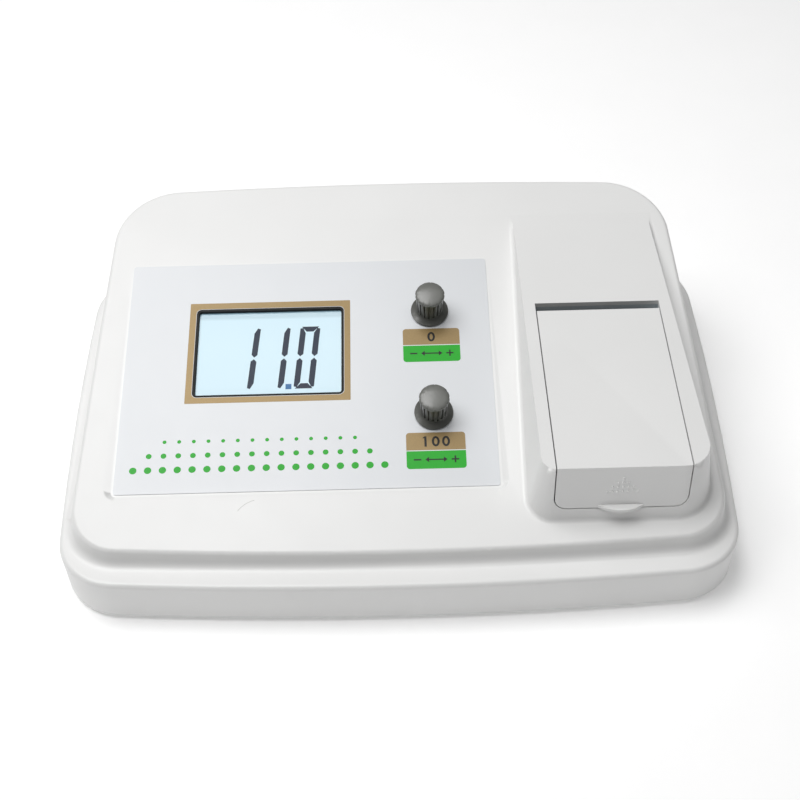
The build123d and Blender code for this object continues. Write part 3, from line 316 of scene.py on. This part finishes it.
def wound_tape(name, colour, shade):
    """Polyester coil tape, lapped in turns."""
    material, tree, shader, coords = start(name, IOR=1.5, Coat_Weight=0.2)
    laps = add(tree, "ShaderNodeTexWave", {"Vector": coords, "Scale": per_mm(30.0), "Distortion": 0.5})
    laps.bands_direction = "Z"
    two_tones(tree, shader, laps.outputs["Fac"], linear(shade), linear(colour))
    rough_between(tree, shader, noise(tree, coords, 4.0), 0.35, 0.5)
    bumped(tree, shader, laps.outputs["Fac"], 0.08, 0.5)
    return material


def clear_glass(name, colour):
    """Ground and polished glass, with a trace of dust on it."""
    values = {"IOR": 1.52, "Transmission_Weight": 0.92, "Base_Color": linear(colour)}
    material, tree, shader, coords = start(name, **values)
    rough_between(tree, shader, noise(tree, coords, 2.0), 0.02, 0.09)
    return material


def mesh_object(name, bm, material, body, smooth=35.0):
    """Makes an object of a bmesh and lets it ride on its body."""
    mesh = bpy.data.meshes.new(name)
    bmesh.ops.recalc_face_normals(bm, faces=bm.faces)
    bm.to_mesh(mesh)
    bm.free()
    mesh.shade_smooth()
    mesh.set_sharp_from_angle(angle=radians(smooth))
    mesh.materials.append(material)
    obj = bpy.data.objects.new(name, mesh)
    bpy.context.scene.collection.objects.link(obj)
    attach(obj, body)
    return obj


def paint(node, material):
    """Gives a CAD node its finish."""
    obj = frame["nodes"][node]
    obj.data.materials.clear()
    obj.data.materials.append(material)


def merged_copy(node):
    """A CAD node's mesh with its points merged and its flat faces joined."""
    bm = bmesh.new()
    bm.from_mesh(frame["nodes"][node].data)
    bmesh.ops.remove_doubles(bm, verts=bm.verts, dist=WELD * MM)
    bmesh.ops.dissolve_limit(bm, angle_limit=radians(FLAT_ANGLE), verts=bm.verts, edges=bm.edges)
    return bm


def softened(node, name, material, body, width, segments=3, angle=25.0):
    """A merged copy of a CAD node with its sharp edges rounded, which stands for it."""
    obj = mesh_object(name, merged_copy(node), material, body)
    bevel = obj.modifiers.new("edges", "BEVEL")
    bevel.width = width * MM
    bevel.segments = segments
    bevel.limit_method = "ANGLE"
    bevel.angle_limit = radians(angle)
    bevel.harden_normals = True
    bevel.miter_outer = "MITER_ARC"
    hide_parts(node)


def outline_face(bm, points):
    """One flat face on corner points in a plane's own millimetres."""
    return bm.faces.new([bm.verts.new((x, y, 0)) for x, y in points])


def round_corners(bm, verts, radius, segments=6):
    """Rounds the corners of a flat outline."""
    bmesh.ops.bevel(
        bm,
        geom=verts,
        offset=radius,
        segments=segments,
        profile=0.5,
        affect="VERTICES",
        material=-1,
        offset_type="OFFSET",
    )


def raise_faces(bm, low, high):
    """Turns flat faces into thin slabs between two heights."""
    bmesh.ops.translate(bm, verts=bm.verts, vec=(0, 0, low))
    made = bmesh.ops.extrude_face_region(bm, geom=list(bm.faces), use_keep_orig=True)
    moved = [v for v in made["geom"] if isinstance(v, bmesh.types.BMVert)]
    bmesh.ops.translate(bm, verts=moved, vec=(0, 0, high - low))


def rectangle(centre, width, depth):
    """Corner points of a rectangle, anticlockwise."""
    x, y = centre
    return [(x + sx * width / 2, y + sy * depth / 2) for sx, sy in ((-1, -1), (1, -1), (1, 1), (-1, 1))]


class MeterSizes(bpy.types.PropertyGroup):
    """Sizes of the printed and moulded detail that a user may change."""

    dot_pitch: FloatProperty(
        name="Dot pitch", description="Distance between two printed dots, in mm", default=7.42
    )
    dot_largest: FloatProperty(
        name="Largest dot", description="Diameter of the lowest row's dots, in mm", default=3.7
    )
    dots_in_row: IntProperty(
        name="Dots", description="Number of dots in the lowest row", default=18, min=4
    )
    digit_height: FloatProperty(
        name="Digit height", description="Height of the display's digits, in mm", default=36.8
    )
    digit_slant: FloatProperty(
        name="Digit slant", description="Lean of the digits", default=radians(5.0), subtype="ANGLE"
    )
    segment_width: FloatProperty(
        name="Segment width", description="Width of a segment, in mm", default=3.1
    )
    edge_round: FloatProperty(
        name="Edge round", description="Rounding of moulded edges, in mm", default=0.5
    )
    lid_mark: FloatProperty(
        name="Lid mark", description="Diameter of a raised dot on the lid, in mm", default=1.35
    )


class MeterColours(bpy.types.PropertyGroup):
    """Colours that a user may change."""

    case: FloatVectorProperty(
        name="Case", description="White of the case", default=linear("#F1F1F0"), size=4, subtype="COLOR"
    )
    green: FloatVectorProperty(
        name="Green", description="Green printing ink", default=linear("#16B41E"), size=4, subtype="COLOR"
    )


def sizes():
    """The user's sizes."""
    return bpy.context.scene.meter_sizes


def colours():
    """The user's colours."""
    return bpy.context.scene.meter_colours


class METER_OT_mouldings(bpy.types.Operator):
    """Dresses the case, its lid and its tray"""

    bl_idname = "meter.mouldings"
    bl_label = "Case mouldings"

    # degrees between two faces from which their edge stays sharp
    COVER_SHARP = 32.0

    def execute(self, context):
        white = handled_abs("white satin ABS", colours().case, "#EBEBEA")
        edge = sizes().edge_round
        self.cover(white)
        softened("chamber_lid", "lid_shell", white, "lid", edge)
        paint("bottom_tray", moulded_abs("light grey ABS", "#D8D8D6", "#CFCFCD", 0.45))
        return {"FINISHED"}

    def cover(self, material):
        """The top cover with the hump's rear crease shaded as one soft bend."""
        rise = tan(radians(PANEL_SLOPE)) - tan(radians(HUMP_SLOPE))
        crease = (HUMP_HEIGHT - PANEL_HEIGHT) / rise
        bm = merged_copy("top_cover")
        for side in (-1, 1):
            for reach in CREASE_REACH:
                everything = [*bm.verts, *bm.edges, *bm.faces]
                middle = (0, (crease + side * reach) * MM, 0)
                bmesh.ops.bisect_plane(
                    bm, geom=everything, dist=WELD / 2 * MM, plane_co=middle, plane_no=(0, 1, 0)
                )
        shell = mesh_object("cover_shell", bm, material, "case", self.COVER_SHARP)
        weighted = shell.modifiers.new("normals", "WEIGHTED_NORMAL")
        weighted.keep_sharp = True
        weighted.weight = CREASE_WEIGHT
        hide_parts("top_cover")


class METER_OT_panel(bpy.types.Operator):
    """Lays the film with its printed border, dots and captions"""

    bl_idname = "meter.panel"
    bl_label = "Printed panel"

    BORDER_LOW = (-109.05, -28.4)
    BORDER_HIGH = (-23.3, 32.6)
    WINDOW_CENTRE = (-66.1, 1.97)
    WINDOW_SIZE = (79.2, 54.0)
    WINDOW_CORNER = 2.7
    BORDER_CORNER = 0.4
    # the printed numbers: height, width, stroke and step
    NUMBER_TALL = 5.8
    NUMBER_WIDE = 4.0
    NUMBER_STROKE = 1.15
    NUMBER_STEP = 5.2
    # the flag of a 1, from its stem's middle and its top
    FLAG_REACH = 1.3
    FLAG_ROOT = 0.3
    FLAG_FALL = 0.6
    FLAG_ROOT_FALL = 0.7
    # the signs and the arrow on the green half
    SIGN_PLACE = 9.5
    SIGN_REACH = 1.9
    SIGN_STROKE = 0.8
    SHAFT_LENGTH = 7.4
    SHAFT_STROKE = 0.7
    HEAD_TIP = 5.6
    HEAD_ROOT = 3.7
    HEAD_HALF = 1.5
    DOT_START = -132.5
    # a row's height on the panel, its share of the largest dot, and the dots that each end lacks
    DOT_ROWS = ((-65.7, 1.0, 0), (-57.9, 0.78, 1), (-50.1, 0.54, 2))
    CAPTION_SIZE = (30.0, 20.2)
    CAPTION_GAP = 0.5
    PLATE_CORNER = 1.7
    CAPTIONS = {"zero": (19.5, 3.27), "span": (19.6, -58.47)}

    def execute(self, context):
        paint("panel_film", printed_film("printed film", "#DFE1E4", "#DBDEE1"))
        tan_ink = gold_ink("tan ink", "#957D50", "#8B744A")
        green = screen_ink("green ink", colours().green, "#12AA1A")
        self.border(tan_ink)
        for number, row in enumerate(self.DOT_ROWS, start=1):
            self.dots(number, row, green)
        dark = screen_ink("black ink", "#0C0E0C", "#121412")
        for name, centre in self.CAPTIONS.items():
            self.caption(name, centre, tan_ink, green)
        self.number("zero_number", ("0",), self.CAPTIONS["zero"], dark)
        self.number("span_number", ("1", "0", "0"), self.CAPTIONS["span"], dark)
        self.arrows("zero_arrows", self.CAPTIONS["zero"], dark)
        self.arrows("span_arrows", self.CAPTIONS["span"], dark)
        return {"FINISHED"}

    def lay(self, name, bm, material, lift=PRINT_LIFT):
        """Gives flat faces the thickness of ink and lays them on the film."""
        raise_faces(bm, FILM_TOP, FILM_TOP + lift)
        bm.transform(PANEL)
        mesh_object(name, bm, material, "case")

    def border(self, ink):
        """Tan border round the display: a band between two rounded outlines."""
        bm = bmesh.new()
        low, high = self.BORDER_LOW, self.BORDER_HIGH
        centre = ((low[0] + high[0]) / 2, (low[1] + high[1]) / 2)
        outlines = (
            (centre, (high[0] - low[0], high[1] - low[1]), self.BORDER_CORNER),
            (self.WINDOW_CENTRE, self.WINDOW_SIZE, self.WINDOW_CORNER),
        )
        for middle, size, corner in outlines:
            face = outline_face(bm, rectangle(middle, *size))
            round_corners(bm, list(face.verts), corner)
        bmesh.ops.delete(bm, geom=list(bm.faces), context="FACES_ONLY")
        bmesh.ops.bridge_loops(bm, edges=list(bm.edges))
        self.lay("display_border", bm, ink)

    def dots(self, number, row, ink):
        """One row of the printed dots."""
        height, share, indent = row
        bm = bmesh.new()
        pitch = sizes().dot_pitch
        for index in range(sizes().dots_in_row - 2 * indent):
            x = self.DOT_START + pitch * (index + indent)
            spot = Matrix.Translation((x, height, 0))
            bmesh.ops.create_circle(
                bm, cap_ends=True, segments=24, radius=sizes().dot_largest * share / 2, matrix=spot
            )
        self.lay(f"dot_row_{number}", bm, ink)

    def caption(self, name, centre, tan_ink, green):
        """A caption plate: tan over green, with a white gap between them."""
        width, depth = self.CAPTION_SIZE
        half = (depth - self.CAPTION_GAP) / 2
        for side, ink, word in ((1, tan_ink, "tan"), (-1, green, "green")):
            middle = (centre[0], centre[1] + side * (half + self.CAPTION_GAP) / 2)
            bm = bmesh.new()
            face = outline_face(bm, rectangle(middle, width, half))
            outer = [v for v in face.verts if (v.co.y - centre[1]) * side > half / 2]
            round_corners(bm, outer, self.PLATE_CORNER)
            self.lay(f"{name}_caption_{word}", bm, ink)

    def number(self, name, digits, centre, ink):
        """Plain numbers on the tan half of a caption."""
        bm = bmesh.new()
        half = self.NUMBER_TALL / 2
        middle_y = centre[1] + self.CAPTION_SIZE[1] / 4
        start_x = centre[0] - self.NUMBER_STEP * (len(digits) - 1) / 2
        for index, digit in enumerate(digits):
            x = start_x + index * self.NUMBER_STEP
            if digit == "1":
                outline_face(bm, rectangle((x, middle_y), self.NUMBER_STROKE, self.NUMBER_TALL))
                far = x - self.FLAG_REACH
                near = x - self.FLAG_ROOT
                flag = [
                    (far, middle_y + half - self.FLAG_REACH),
                    (near, middle_y + half - self.FLAG_ROOT_FALL),
                    (near, middle_y + half),
                    (far, middle_y + half - self.FLAG_FALL),
                ]
                outline_face(bm, flag)
            else:
                self.ring(bm, (x, middle_y), (self.NUMBER_WIDE, self.NUMBER_TALL), self.NUMBER_STROKE)
        self.lay(name, bm, ink, 2 * PRINT_LIFT)

    def ring(self, bm, centre, size, stroke):
        """An oval ring of one stroke's width."""
        place = Matrix.Translation((*centre, 0))
        edges = []
        for inset in (0, stroke):
            grow = Matrix.Diagonal((size[0] / 2 - inset, size[1] / 2 - inset, 1, 1))
            made = bmesh.ops.create_circle(bm, cap_ends=False, segments=32, radius=1, matrix=place @ grow)
            edges += list({edge for vert in made["verts"] for edge in vert.link_edges})
        bmesh.ops.bridge_loops(bm, edges=edges)

    def arrows(self, name, centre, ink):
        """Minus and plus signs with a double-headed arrow between them, on the green half."""
        bm = bmesh.new()
        y = centre[1] - self.CAPTION_SIZE[1] / 4
        reach = self.SIGN_REACH
        stroke = self.SIGN_STROKE
        for x, upright in ((centre[0] - self.SIGN_PLACE, False), (centre[0] + self.SIGN_PLACE, True)):
            outline_face(bm, rectangle((x, y), 2 * reach, stroke))
            if upright:
                for side in (-1, 1):
                    arm = (x, y + side * (reach + stroke / 2) / 2)
                    outline_face(bm, rectangle(arm, stroke, reach - stroke / 2))
        outline_face(bm, rectangle((centre[0], y), self.SHAFT_LENGTH, self.SHAFT_STROKE))
        for side in (-1, 1):
            tip = centre[0] + side * self.HEAD_TIP
            root = centre[0] + side * self.HEAD_ROOT
            outline_face(bm, [(root, y - self.HEAD_HALF), (tip, y), (root, y + self.HEAD_HALF)][::side])
        self.lay(name, bm, ink, 2 * PRINT_LIFT)


class METER_OT_display(bpy.types.Operator):
    """Makes the display's frame, its lit glass and its figures"""

    bl_idname = "meter.display"
    bl_label = "Display"

    FIGURE_TOP = 17.2
    ONE_PLACES = (-74.2, -58.3)
    ZERO_PLACE = -46.2
    ZERO_WIDTH = 10.6
    POINT = (-55.7, -18.7)
    POINT_SIZE = 3.1
    # half of the gap between two bars, and the rise of the zero's level bars over its height
    BAR_GAP = 0.5
    BAR_RISE = 0.4
    # how far a bar's corners stand back, in bar widths: a point, and the ends of the one and the zero
    POINTED = (0.5, 0.5)
    ONE_END = (0.15, 1.1)
    ZERO_END = (0.1, 1.0)
    # the zero's level bars beyond and within its upright bars' middles, in bar widths
    LEVEL_LONG = 0.28
    LEVEL_SHORT = 0.62

    def execute(self, context):
        black = soft_black("black ABS frame", "#040506", "#08090A", 0.7)
        softened("display_bezel", "display_frame", black, "case", 0.25, 2)
        low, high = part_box("display_glass")
        tilt = Matrix.Rotation(radians(-PANEL_SLOPE), 3, "X")
        near = (tilt @ Vector((0, low.y, low.z))).y
        far = (tilt @ Vector((0, high.y, high.z))).y
        glass = lit_crystal("lit liquid crystal", "#9FBECB", "#CFEAF5", "#DFF6FF", "#3A5563", near, far)
        paint("display_glass", glass)
        paint("display_backlight", moulded_abs("milky light guide", "#DDEFF2", "#D2E6EA", 0.3))
        paint("display_board", lacquered_board("display board lacquer", "#0F4A26", "#1E6B35"))
        self.figures()
        return {"FINISHED"}

    def segment(self, bm, a, b, width, cut_a=(0.5, 0.5), cut_b=(0.5, 0.5)):
        """One bar of a figure from a to b, pointed at both ends.

        Each cut says how far the left and the right corner of that end stand back, in bar widths.
        """
        along = Vector(b) - Vector(a)
        along.normalize()
        across = Vector((-along.y, along.x)) * width / 2
        start_point, end_point = Vector(a), Vector(b)
        points = [
            start_point,
            start_point - across + along * width * cut_a[1],
            end_point - across - along * width * cut_b[1],
            end_point,
            end_point + across - along * width * cut_b[0],
            start_point + across + along * width * cut_a[0],
        ]
        outline_face(bm, [tuple(p) for p in points])

    def figures(self):
        """Slanted seven bar figures: one, one, zero, with a square point."""
        bm = bmesh.new()
        tall = sizes().digit_height
        lean = tan(sizes().digit_slant)
        width = sizes().segment_width
        half = tall / 2
        middle = self.FIGURE_TOP - half
        gap = self.BAR_GAP

        def slanted(x, y):
            return (x + (y - middle) * lean, y)

        for x in self.ONE_PLACES:
            upper = (slanted(x, middle + half), slanted(x, middle + gap))
            lower = (slanted(x, middle - gap), slanted(x, middle - half))
            self.segment(bm, *upper, width, self.ONE_END, self.POINTED)
            self.segment(bm, *lower, width, self.POINTED, self.ONE_END[::-1])
        side = (self.ZERO_WIDTH - width) / 2
        for sign in (-1, 1):
            x = self.ZERO_PLACE + sign * side
            outer_end = self.ZERO_END[::-1] if sign < 0 else self.ZERO_END
            upper = (slanted(x, middle + half - gap), slanted(x, middle + gap))
            lower = (slanted(x, middle - gap), slanted(x, middle - half + gap))
            self.segment(bm, *upper, width, outer_end, self.POINTED)
            self.segment(bm, *lower, width, self.POINTED, outer_end)
        long_half = side + width * self.LEVEL_LONG
        short_half = side - width * self.LEVEL_SHORT
        for sign in (-1, 1):
            y = middle + sign * (half - width / 2 + self.BAR_RISE)
            edge_y = y + sign * width / 2
            inner_y = y - sign * width / 2
            corners = [
                slanted(self.ZERO_PLACE - long_half, edge_y),
                slanted(self.ZERO_PLACE + long_half, edge_y),
                slanted(self.ZERO_PLACE + short_half, inner_y),
                slanted(self.ZERO_PLACE - short_half, inner_y),
            ]
            outline_face(bm, corners)
        slate = screen_ink("dark crystal", "#182840", "#142238")
        self.on_glass("display_figures", bm, slate)
        bm = bmesh.new()
        outline_face(bm, rectangle(self.POINT, self.POINT_SIZE, self.POINT_SIZE))
        self.on_glass("display_point", bm, screen_ink("blue crystal", "#3F79AE", "#386EA1"))

    def on_glass(self, name, bm, material):
        """Lays figures on the display's glass."""
        raise_faces(bm, LCD_TOP, LCD_TOP + PRINT_LIFT)
        bm.transform(PANEL)
        mesh_object(name, bm, material, "case")


class METER_OT_knobs(bpy.types.Operator):
    """Dresses the two knobs, their shafts and what they turn"""

    bl_idname = "meter.knobs"
    bl_label = "Knobs"

    # the cap's outline from its middle outwards: radius, and distance below the knob's top
    CAP_OUTLINE = (
        (0.0, -0.12),
        (3.0, -0.02),
        (5.4, 0.22),
        (6.8, 0.58),
        (7.5, 1.0),
        (7.75, 1.5),
        (7.75, 1.9),
        (7.5, 2.1),
        (0.0, 2.1),
    )
    CAP_STEPS = 120
    CAP_SCALLOPS = 12
    SCALLOP_DEPTH = 0.3
    SCALLOP_START = 6.0
    SCALLOP_SHARPNESS = 12

    def execute(self, context):
        grey = knob_plastic("grey knob ABS", "#5C5D59", "#50514D")
        # the cap is the grip's plastic painted a lighter grey, a painted highlight for the light on its
        # top and its sheen
        lit_cap_grey = knob_plastic("cap ABS painted lit", "#777874", "#6D6E6A")
        for name in ("zero", "span"):
            softened(f"{name}_knob", f"{name}_knob_grip", grey, f"{name}_control", 0.18, 2)
            self.cap(name, lit_cap_grey)
        steel = turned_metal("nickel plated steel", "#C9CACC", "#B4B6B8", 0.5, 0.28)
        for node in ("zero_shaft", "span_shaft", "pot_nuts"):
            paint(node, steel)
        can = turned_metal("potentiometer can", "#B9BABC", "#A2A4A6", 0.8, 0.36)
        for node in ("zero_potentiometer", "span_potentiometer"):
            paint(node, can)
        paint("potentiometer_board", lacquered_board("control board lacquer", "#114D29", "#206F38"))
        return {"FINISHED"}

    def cap(self, name, material):
        """The knob's smooth domed cap, with a shallow scallop over each rib."""
        pivot = Vector(next(j for j in frame["joints"] if j["name"] == f"{name}_turn")["pos_m"]) / MM
        bm = bmesh.new()
        verts = [bm.verts.new((radius, 0, KNOB_TOP - drop)) for radius, drop in self.CAP_OUTLINE]
        edges = [bm.edges.new(pair) for pair in zip(verts, verts[1:])]
        bmesh.ops.spin(
            bm,
            geom=verts + edges,
            axis=(0, 0, 1),
            cent=(0, 0, 0),
            angle=2 * pi,
            steps=self.CAP_STEPS,
            use_merge=True,
        )
        bmesh.ops.remove_doubles(bm, verts=bm.verts, dist=WELD / 2)
        for vert in bm.verts:
            radius = hypot(vert.co.x, vert.co.y)
            turn = atan2(vert.co.y, vert.co.x) * self.CAP_SCALLOPS / 2
            if radius > self.SCALLOP_START:
                vert.co.xy *= 1 - self.SCALLOP_DEPTH * abs(cos(turn)) ** self.SCALLOP_SHARPNESS / radius
        slope = radians(PANEL_SLOPE)
        bm.transform(PANEL @ Matrix.Translation((pivot.x, pivot.y / cos(slope), 0)))
        mesh_object(f"{name}_knob_cap", bm, material, f"{name}_control", 60.0)


class METER_OT_chamber(bpy.types.Operator):
    """Dresses the sample chamber, its lid's hinge and its optics"""

    bl_idname = "meter.chamber"
    bl_label = "Sample chamber"

    # the raised dots: how many in each row from the top, and where the first row is
    MARK_ROWS = (1, 3, 5, 7)
    MARK_PITCH = 2.45
    MARK_STEP = 2.74
    MARK_ROUNDNESS = 0.75
    MARK_TOP_HEIGHT = 65.4
    # the lid's front wall: how many degrees it leans back, and its depth at a height
    WALL_DRAFT = 9.0
    HUMP_FRONT_Y = -91.8
    REFERENCE_Z = 72.0

    def execute(self, context):
        tub = soft_black("grey chamber ABS", "#C3CBD0", "#CBD3D7", 0.6)
        paint("chamber_tub", tub)
        softened("cell_block", "well_block", tub, "case", 0.3, 2, 40.0)
        paint("lid_seal", vulcanised("black foam", "#17181A", "#202224", 0.8))
        steel = turned_metal("ground steel", "#C4C5C7", "#B0B2B4", 0.4, 0.25)
        paint("hinge_pin", steel)
        barrel = turned_metal("clear anodised aluminium", "#D3D4D6", "#C2C3C6", 0.5, 0.34)
        paint("lamp_barrel", barrel)
        paint("condenser_lens", clear_glass("polished lens glass", "#F2FAFA"))
        paint("lamp", clear_glass("lamp bulb glass", "#FFF6E6"))
        paint("lamp_holder", soft_black("lamp holder phenolic", "#1D1512", "#281C18", 0.5))
        paint("light_detector", soft_black("detector can", "#15161A", "#1E1F24", 0.4))
        paint("detector_board", lacquered_board("detector board lacquer", "#0F4A26", "#1E6B35"))
        self.marks()
        return {"FINISHED"}

    def marks(self):
        """Raised dots on the lid's front, in rows of one, three, five and seven."""
        white = bpy.data.materials["white satin ABS"]
        low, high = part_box("chamber_lid")
        middle = (low.x + high.x) / 2 / MM
        bm = bmesh.new()
        radius = sizes().lid_mark / 2
        lean = Matrix.Rotation(radians(90 - self.WALL_DRAFT), 4, "X")
        flattened = lean @ Matrix.Diagonal((1, 1, self.MARK_ROUNDNESS, 1))
        for row, count in enumerate(self.MARK_ROWS):
            height = self.MARK_TOP_HEIGHT - row * self.MARK_STEP
            y = self.front_y(height)
            for index in range(count):
                x = middle + (index - (count - 1) / 2) * self.MARK_PITCH
                place = Matrix.Translation((x, y, height)) @ flattened
                bmesh.ops.create_uvsphere(bm, u_segments=16, v_segments=8, radius=radius, matrix=place)
        bm.transform(Matrix.Scale(MM, 4))
        mesh_object("lid_marks", bm, white, "lid")

    def front_y(self, height):
        """Depth of the lid's leaning front wall at a height."""
        return self.HUMP_FRONT_Y - (self.REFERENCE_Z - height) * tan(radians(self.WALL_DRAFT))


class METER_OT_electronics(bpy.types.Operator):
    """Dresses the boards, the transformer and their screws"""

    bl_idname = "meter.electronics"
    bl_label = "Electronics"

    def execute(self, context):
        paint("main_board", lacquered_board("main board lacquer", "#0E4826", "#1F6E38"))
        paint("board_chips", soft_black("chip epoxy", "#16171A", "#1F2023", 0.5))
        paint("capacitors", turned_metal("capacitor can", "#9FA6B8", "#8C93A6", 0.6, 0.35))
        paint("heat_sink", turned_metal("black anodised aluminium", "#2B2C2F", "#222326", 0.5, 0.45))
        paint("transformer_core", stacked_iron("varnished sheet iron", "#4A4744", "#2C2A28"))
        paint("transformer_coil", wound_tape("yellow coil tape", "#E0B52E", "#C89E22"))
        zinc = turned_metal("zinc plated steel", "#BFC2C6", "#A6A9AE", 0.4, 0.32)
        for node in ("case_screws", "board_screws"):
            paint(node, zinc)
        paint("rubber_feet", vulcanised("black rubber", "#141415", "#1E1E1F", 0.5))
        return {"FINISHED"}


class METER_OT_fittings(bpy.types.Operator):
    """Dresses the power inlet, the switch and the fuse at the rear"""

    bl_idname = "meter.fittings"
    bl_label = "Rear fittings"

    def execute(self, context):
        nylon = soft_black("black nylon", "#131416", "#1C1D20", 0.5)
        softened("power_inlet", "inlet_shell", nylon, "case", 0.3, 2, 40.0)
        paint("switch_housing", nylon)
        paint("fuse_holder", nylon)
        paint("inlet_pins", turned_metal("bright brass", "#D8B566", "#C09C4E", 0.4, 0.25))
        paint("switch_rocker", soft_black("glossy rocker", "#0E0F11", "#15161A", 0.25))
        paint("fuse_cap", soft_black("fuse cap phenolic", "#1A1A1C", "#232326", 0.4))
        return {"FINISHED"}


class METER_OT_stage(bpy.types.Operator):
    """Sets the floor, the lights and the camera"""

    bl_idname = "meter.stage"
    bl_label = "Stage"

    # name, place in metres, size in metres, power in watts
    LIGHTS = (
        ("key_light", (-0.52, 0.1, 1.4), 1.1, 17.6),
        ("fill_light", (0.2, 0.0, 1.6), 1.4, 4.6),
    )
    SURROUNDINGS = 0.1
    FLOOR_SIZE = 6.0
    FLOOR_GLOW = 0.2

    def execute(self, context):
        scene = context.scene
        self.floor()
        for name, place, size, power in self.LIGHTS:
            lamp = bpy.data.lights.new(name, "AREA")
            lamp.size = size
            lamp.energy = power
            lamp_object = bpy.data.objects.new(name, lamp)
            lamp_object.location = place
            lamp_object.rotation_euler = (-Vector(place)).to_track_quat("-Z", "Y").to_euler()
            scene.collection.objects.link(lamp_object)
        world = bpy.data.worlds.new("soft surroundings")
        world.use_nodes = True
        world.node_tree.nodes["Background"].inputs["Color"].default_value = linear("#FFFFFF")
        world.node_tree.nodes["Background"].inputs["Strength"].default_value = self.SURROUNDINGS
        scene.world = world
        scene.view_settings.view_transform = "Standard"
        self.camera(scene)
        return {"FINISHED"}

    def floor(self):
        """A wide pale floor."""
        bm = bmesh.new()
        bmesh.ops.create_grid(bm, x_segments=1, y_segments=1, size=self.FLOOR_SIZE)
        mesh = bpy.data.meshes.new("floor")
        bm.to_mesh(mesh)
        bm.free()
        material, tree, shader, coords = start("pale backdrop paper", Roughness=0.9)
        two_tones(tree, shader, noise(tree, coords, 40.0), linear("#FBFBFB"), linear("#FFFFFF"))
        shader.inputs["Emission Color"].default_value = linear("#FFFFFF")
        shader.inputs["Emission Strength"].default_value = self.FLOOR_GLOW
        mesh.materials.append(material)
        floor = bpy.data.objects.new("floor", mesh)
        bpy.context.scene.collection.objects.link(floor)

    def camera(self, scene):
        """The camera at the photograph's place and angle."""
        yaw, pitch, roll = radians(CAMERA_YAW), radians(CAMERA_PITCH), radians(CAMERA_ROLL)
        ahead = Vector((sin(yaw) * cos(pitch), cos(yaw) * cos(pitch), -sin(pitch)))
        level = Vector((cos(yaw), -sin(yaw), 0))
        upright = level.cross(ahead)
        right = cos(roll) * level + sin(roll) * upright
        up = -sin(roll) * level + cos(roll) * upright
        data = bpy.data.cameras.new("camera")
        data.lens = CAMERA_LENS
        camera = bpy.data.objects.new("camera", data)
        turn = Matrix((right, up, -ahead)).transposed().to_4x4()
        camera.matrix_world = Matrix.Translation(Vector(CAMERA_PLACE) * MM) @ turn
        scene.collection.objects.link(camera)
        scene.camera = camera


OPERATORS = (
    METER_OT_mouldings,
    METER_OT_panel,
    METER_OT_display,
    METER_OT_knobs,
    METER_OT_chamber,
    METER_OT_electronics,
    METER_OT_fittings,
    METER_OT_stage,
)


class METER_PT_panel(bpy.types.Panel):
    """Lists the meter's pieces in the sidebar"""

    bl_idname = "METER_PT_panel"
    bl_label = "Turbidity meter"
    bl_space_type = "VIEW_3D"
    bl_region_type = "UI"
    bl_category = "Turbidity meter"

    def draw(self, context):
        for name in MeterSizes.__annotations__:
            self.layout.prop(context.scene.meter_sizes, name)
        for name in MeterColours.__annotations__:
            self.layout.prop(context.scene.meter_colours, name)
        for operator in OPERATORS:
            self.layout.operator(operator.bl_idname)


CLASSES = (MeterSizes, MeterColours, *OPERATORS, METER_PT_panel)


def register():
    """Registers the add-on's classes and properties."""
    for each in CLASSES:
        bpy.utils.register_class(each)
    bpy.types.Scene.meter_sizes = PointerProperty(type=MeterSizes)
    bpy.types.Scene.meter_colours = PointerProperty(type=MeterColours)


def unregister():
    """Removes the add-on's classes and properties."""
    del bpy.types.Scene.meter_colours
    del bpy.types.Scene.meter_sizes
    for each in reversed(CLASSES):
        bpy.utils.unregister_class(each)


def main():
    """Makes every piece."""
    register()
    for operator in OPERATORS:
        group, name = operator.bl_idname.split(".")
        getattr(getattr(bpy.ops, group), name)()


if __name__ == "__main__":
    main()
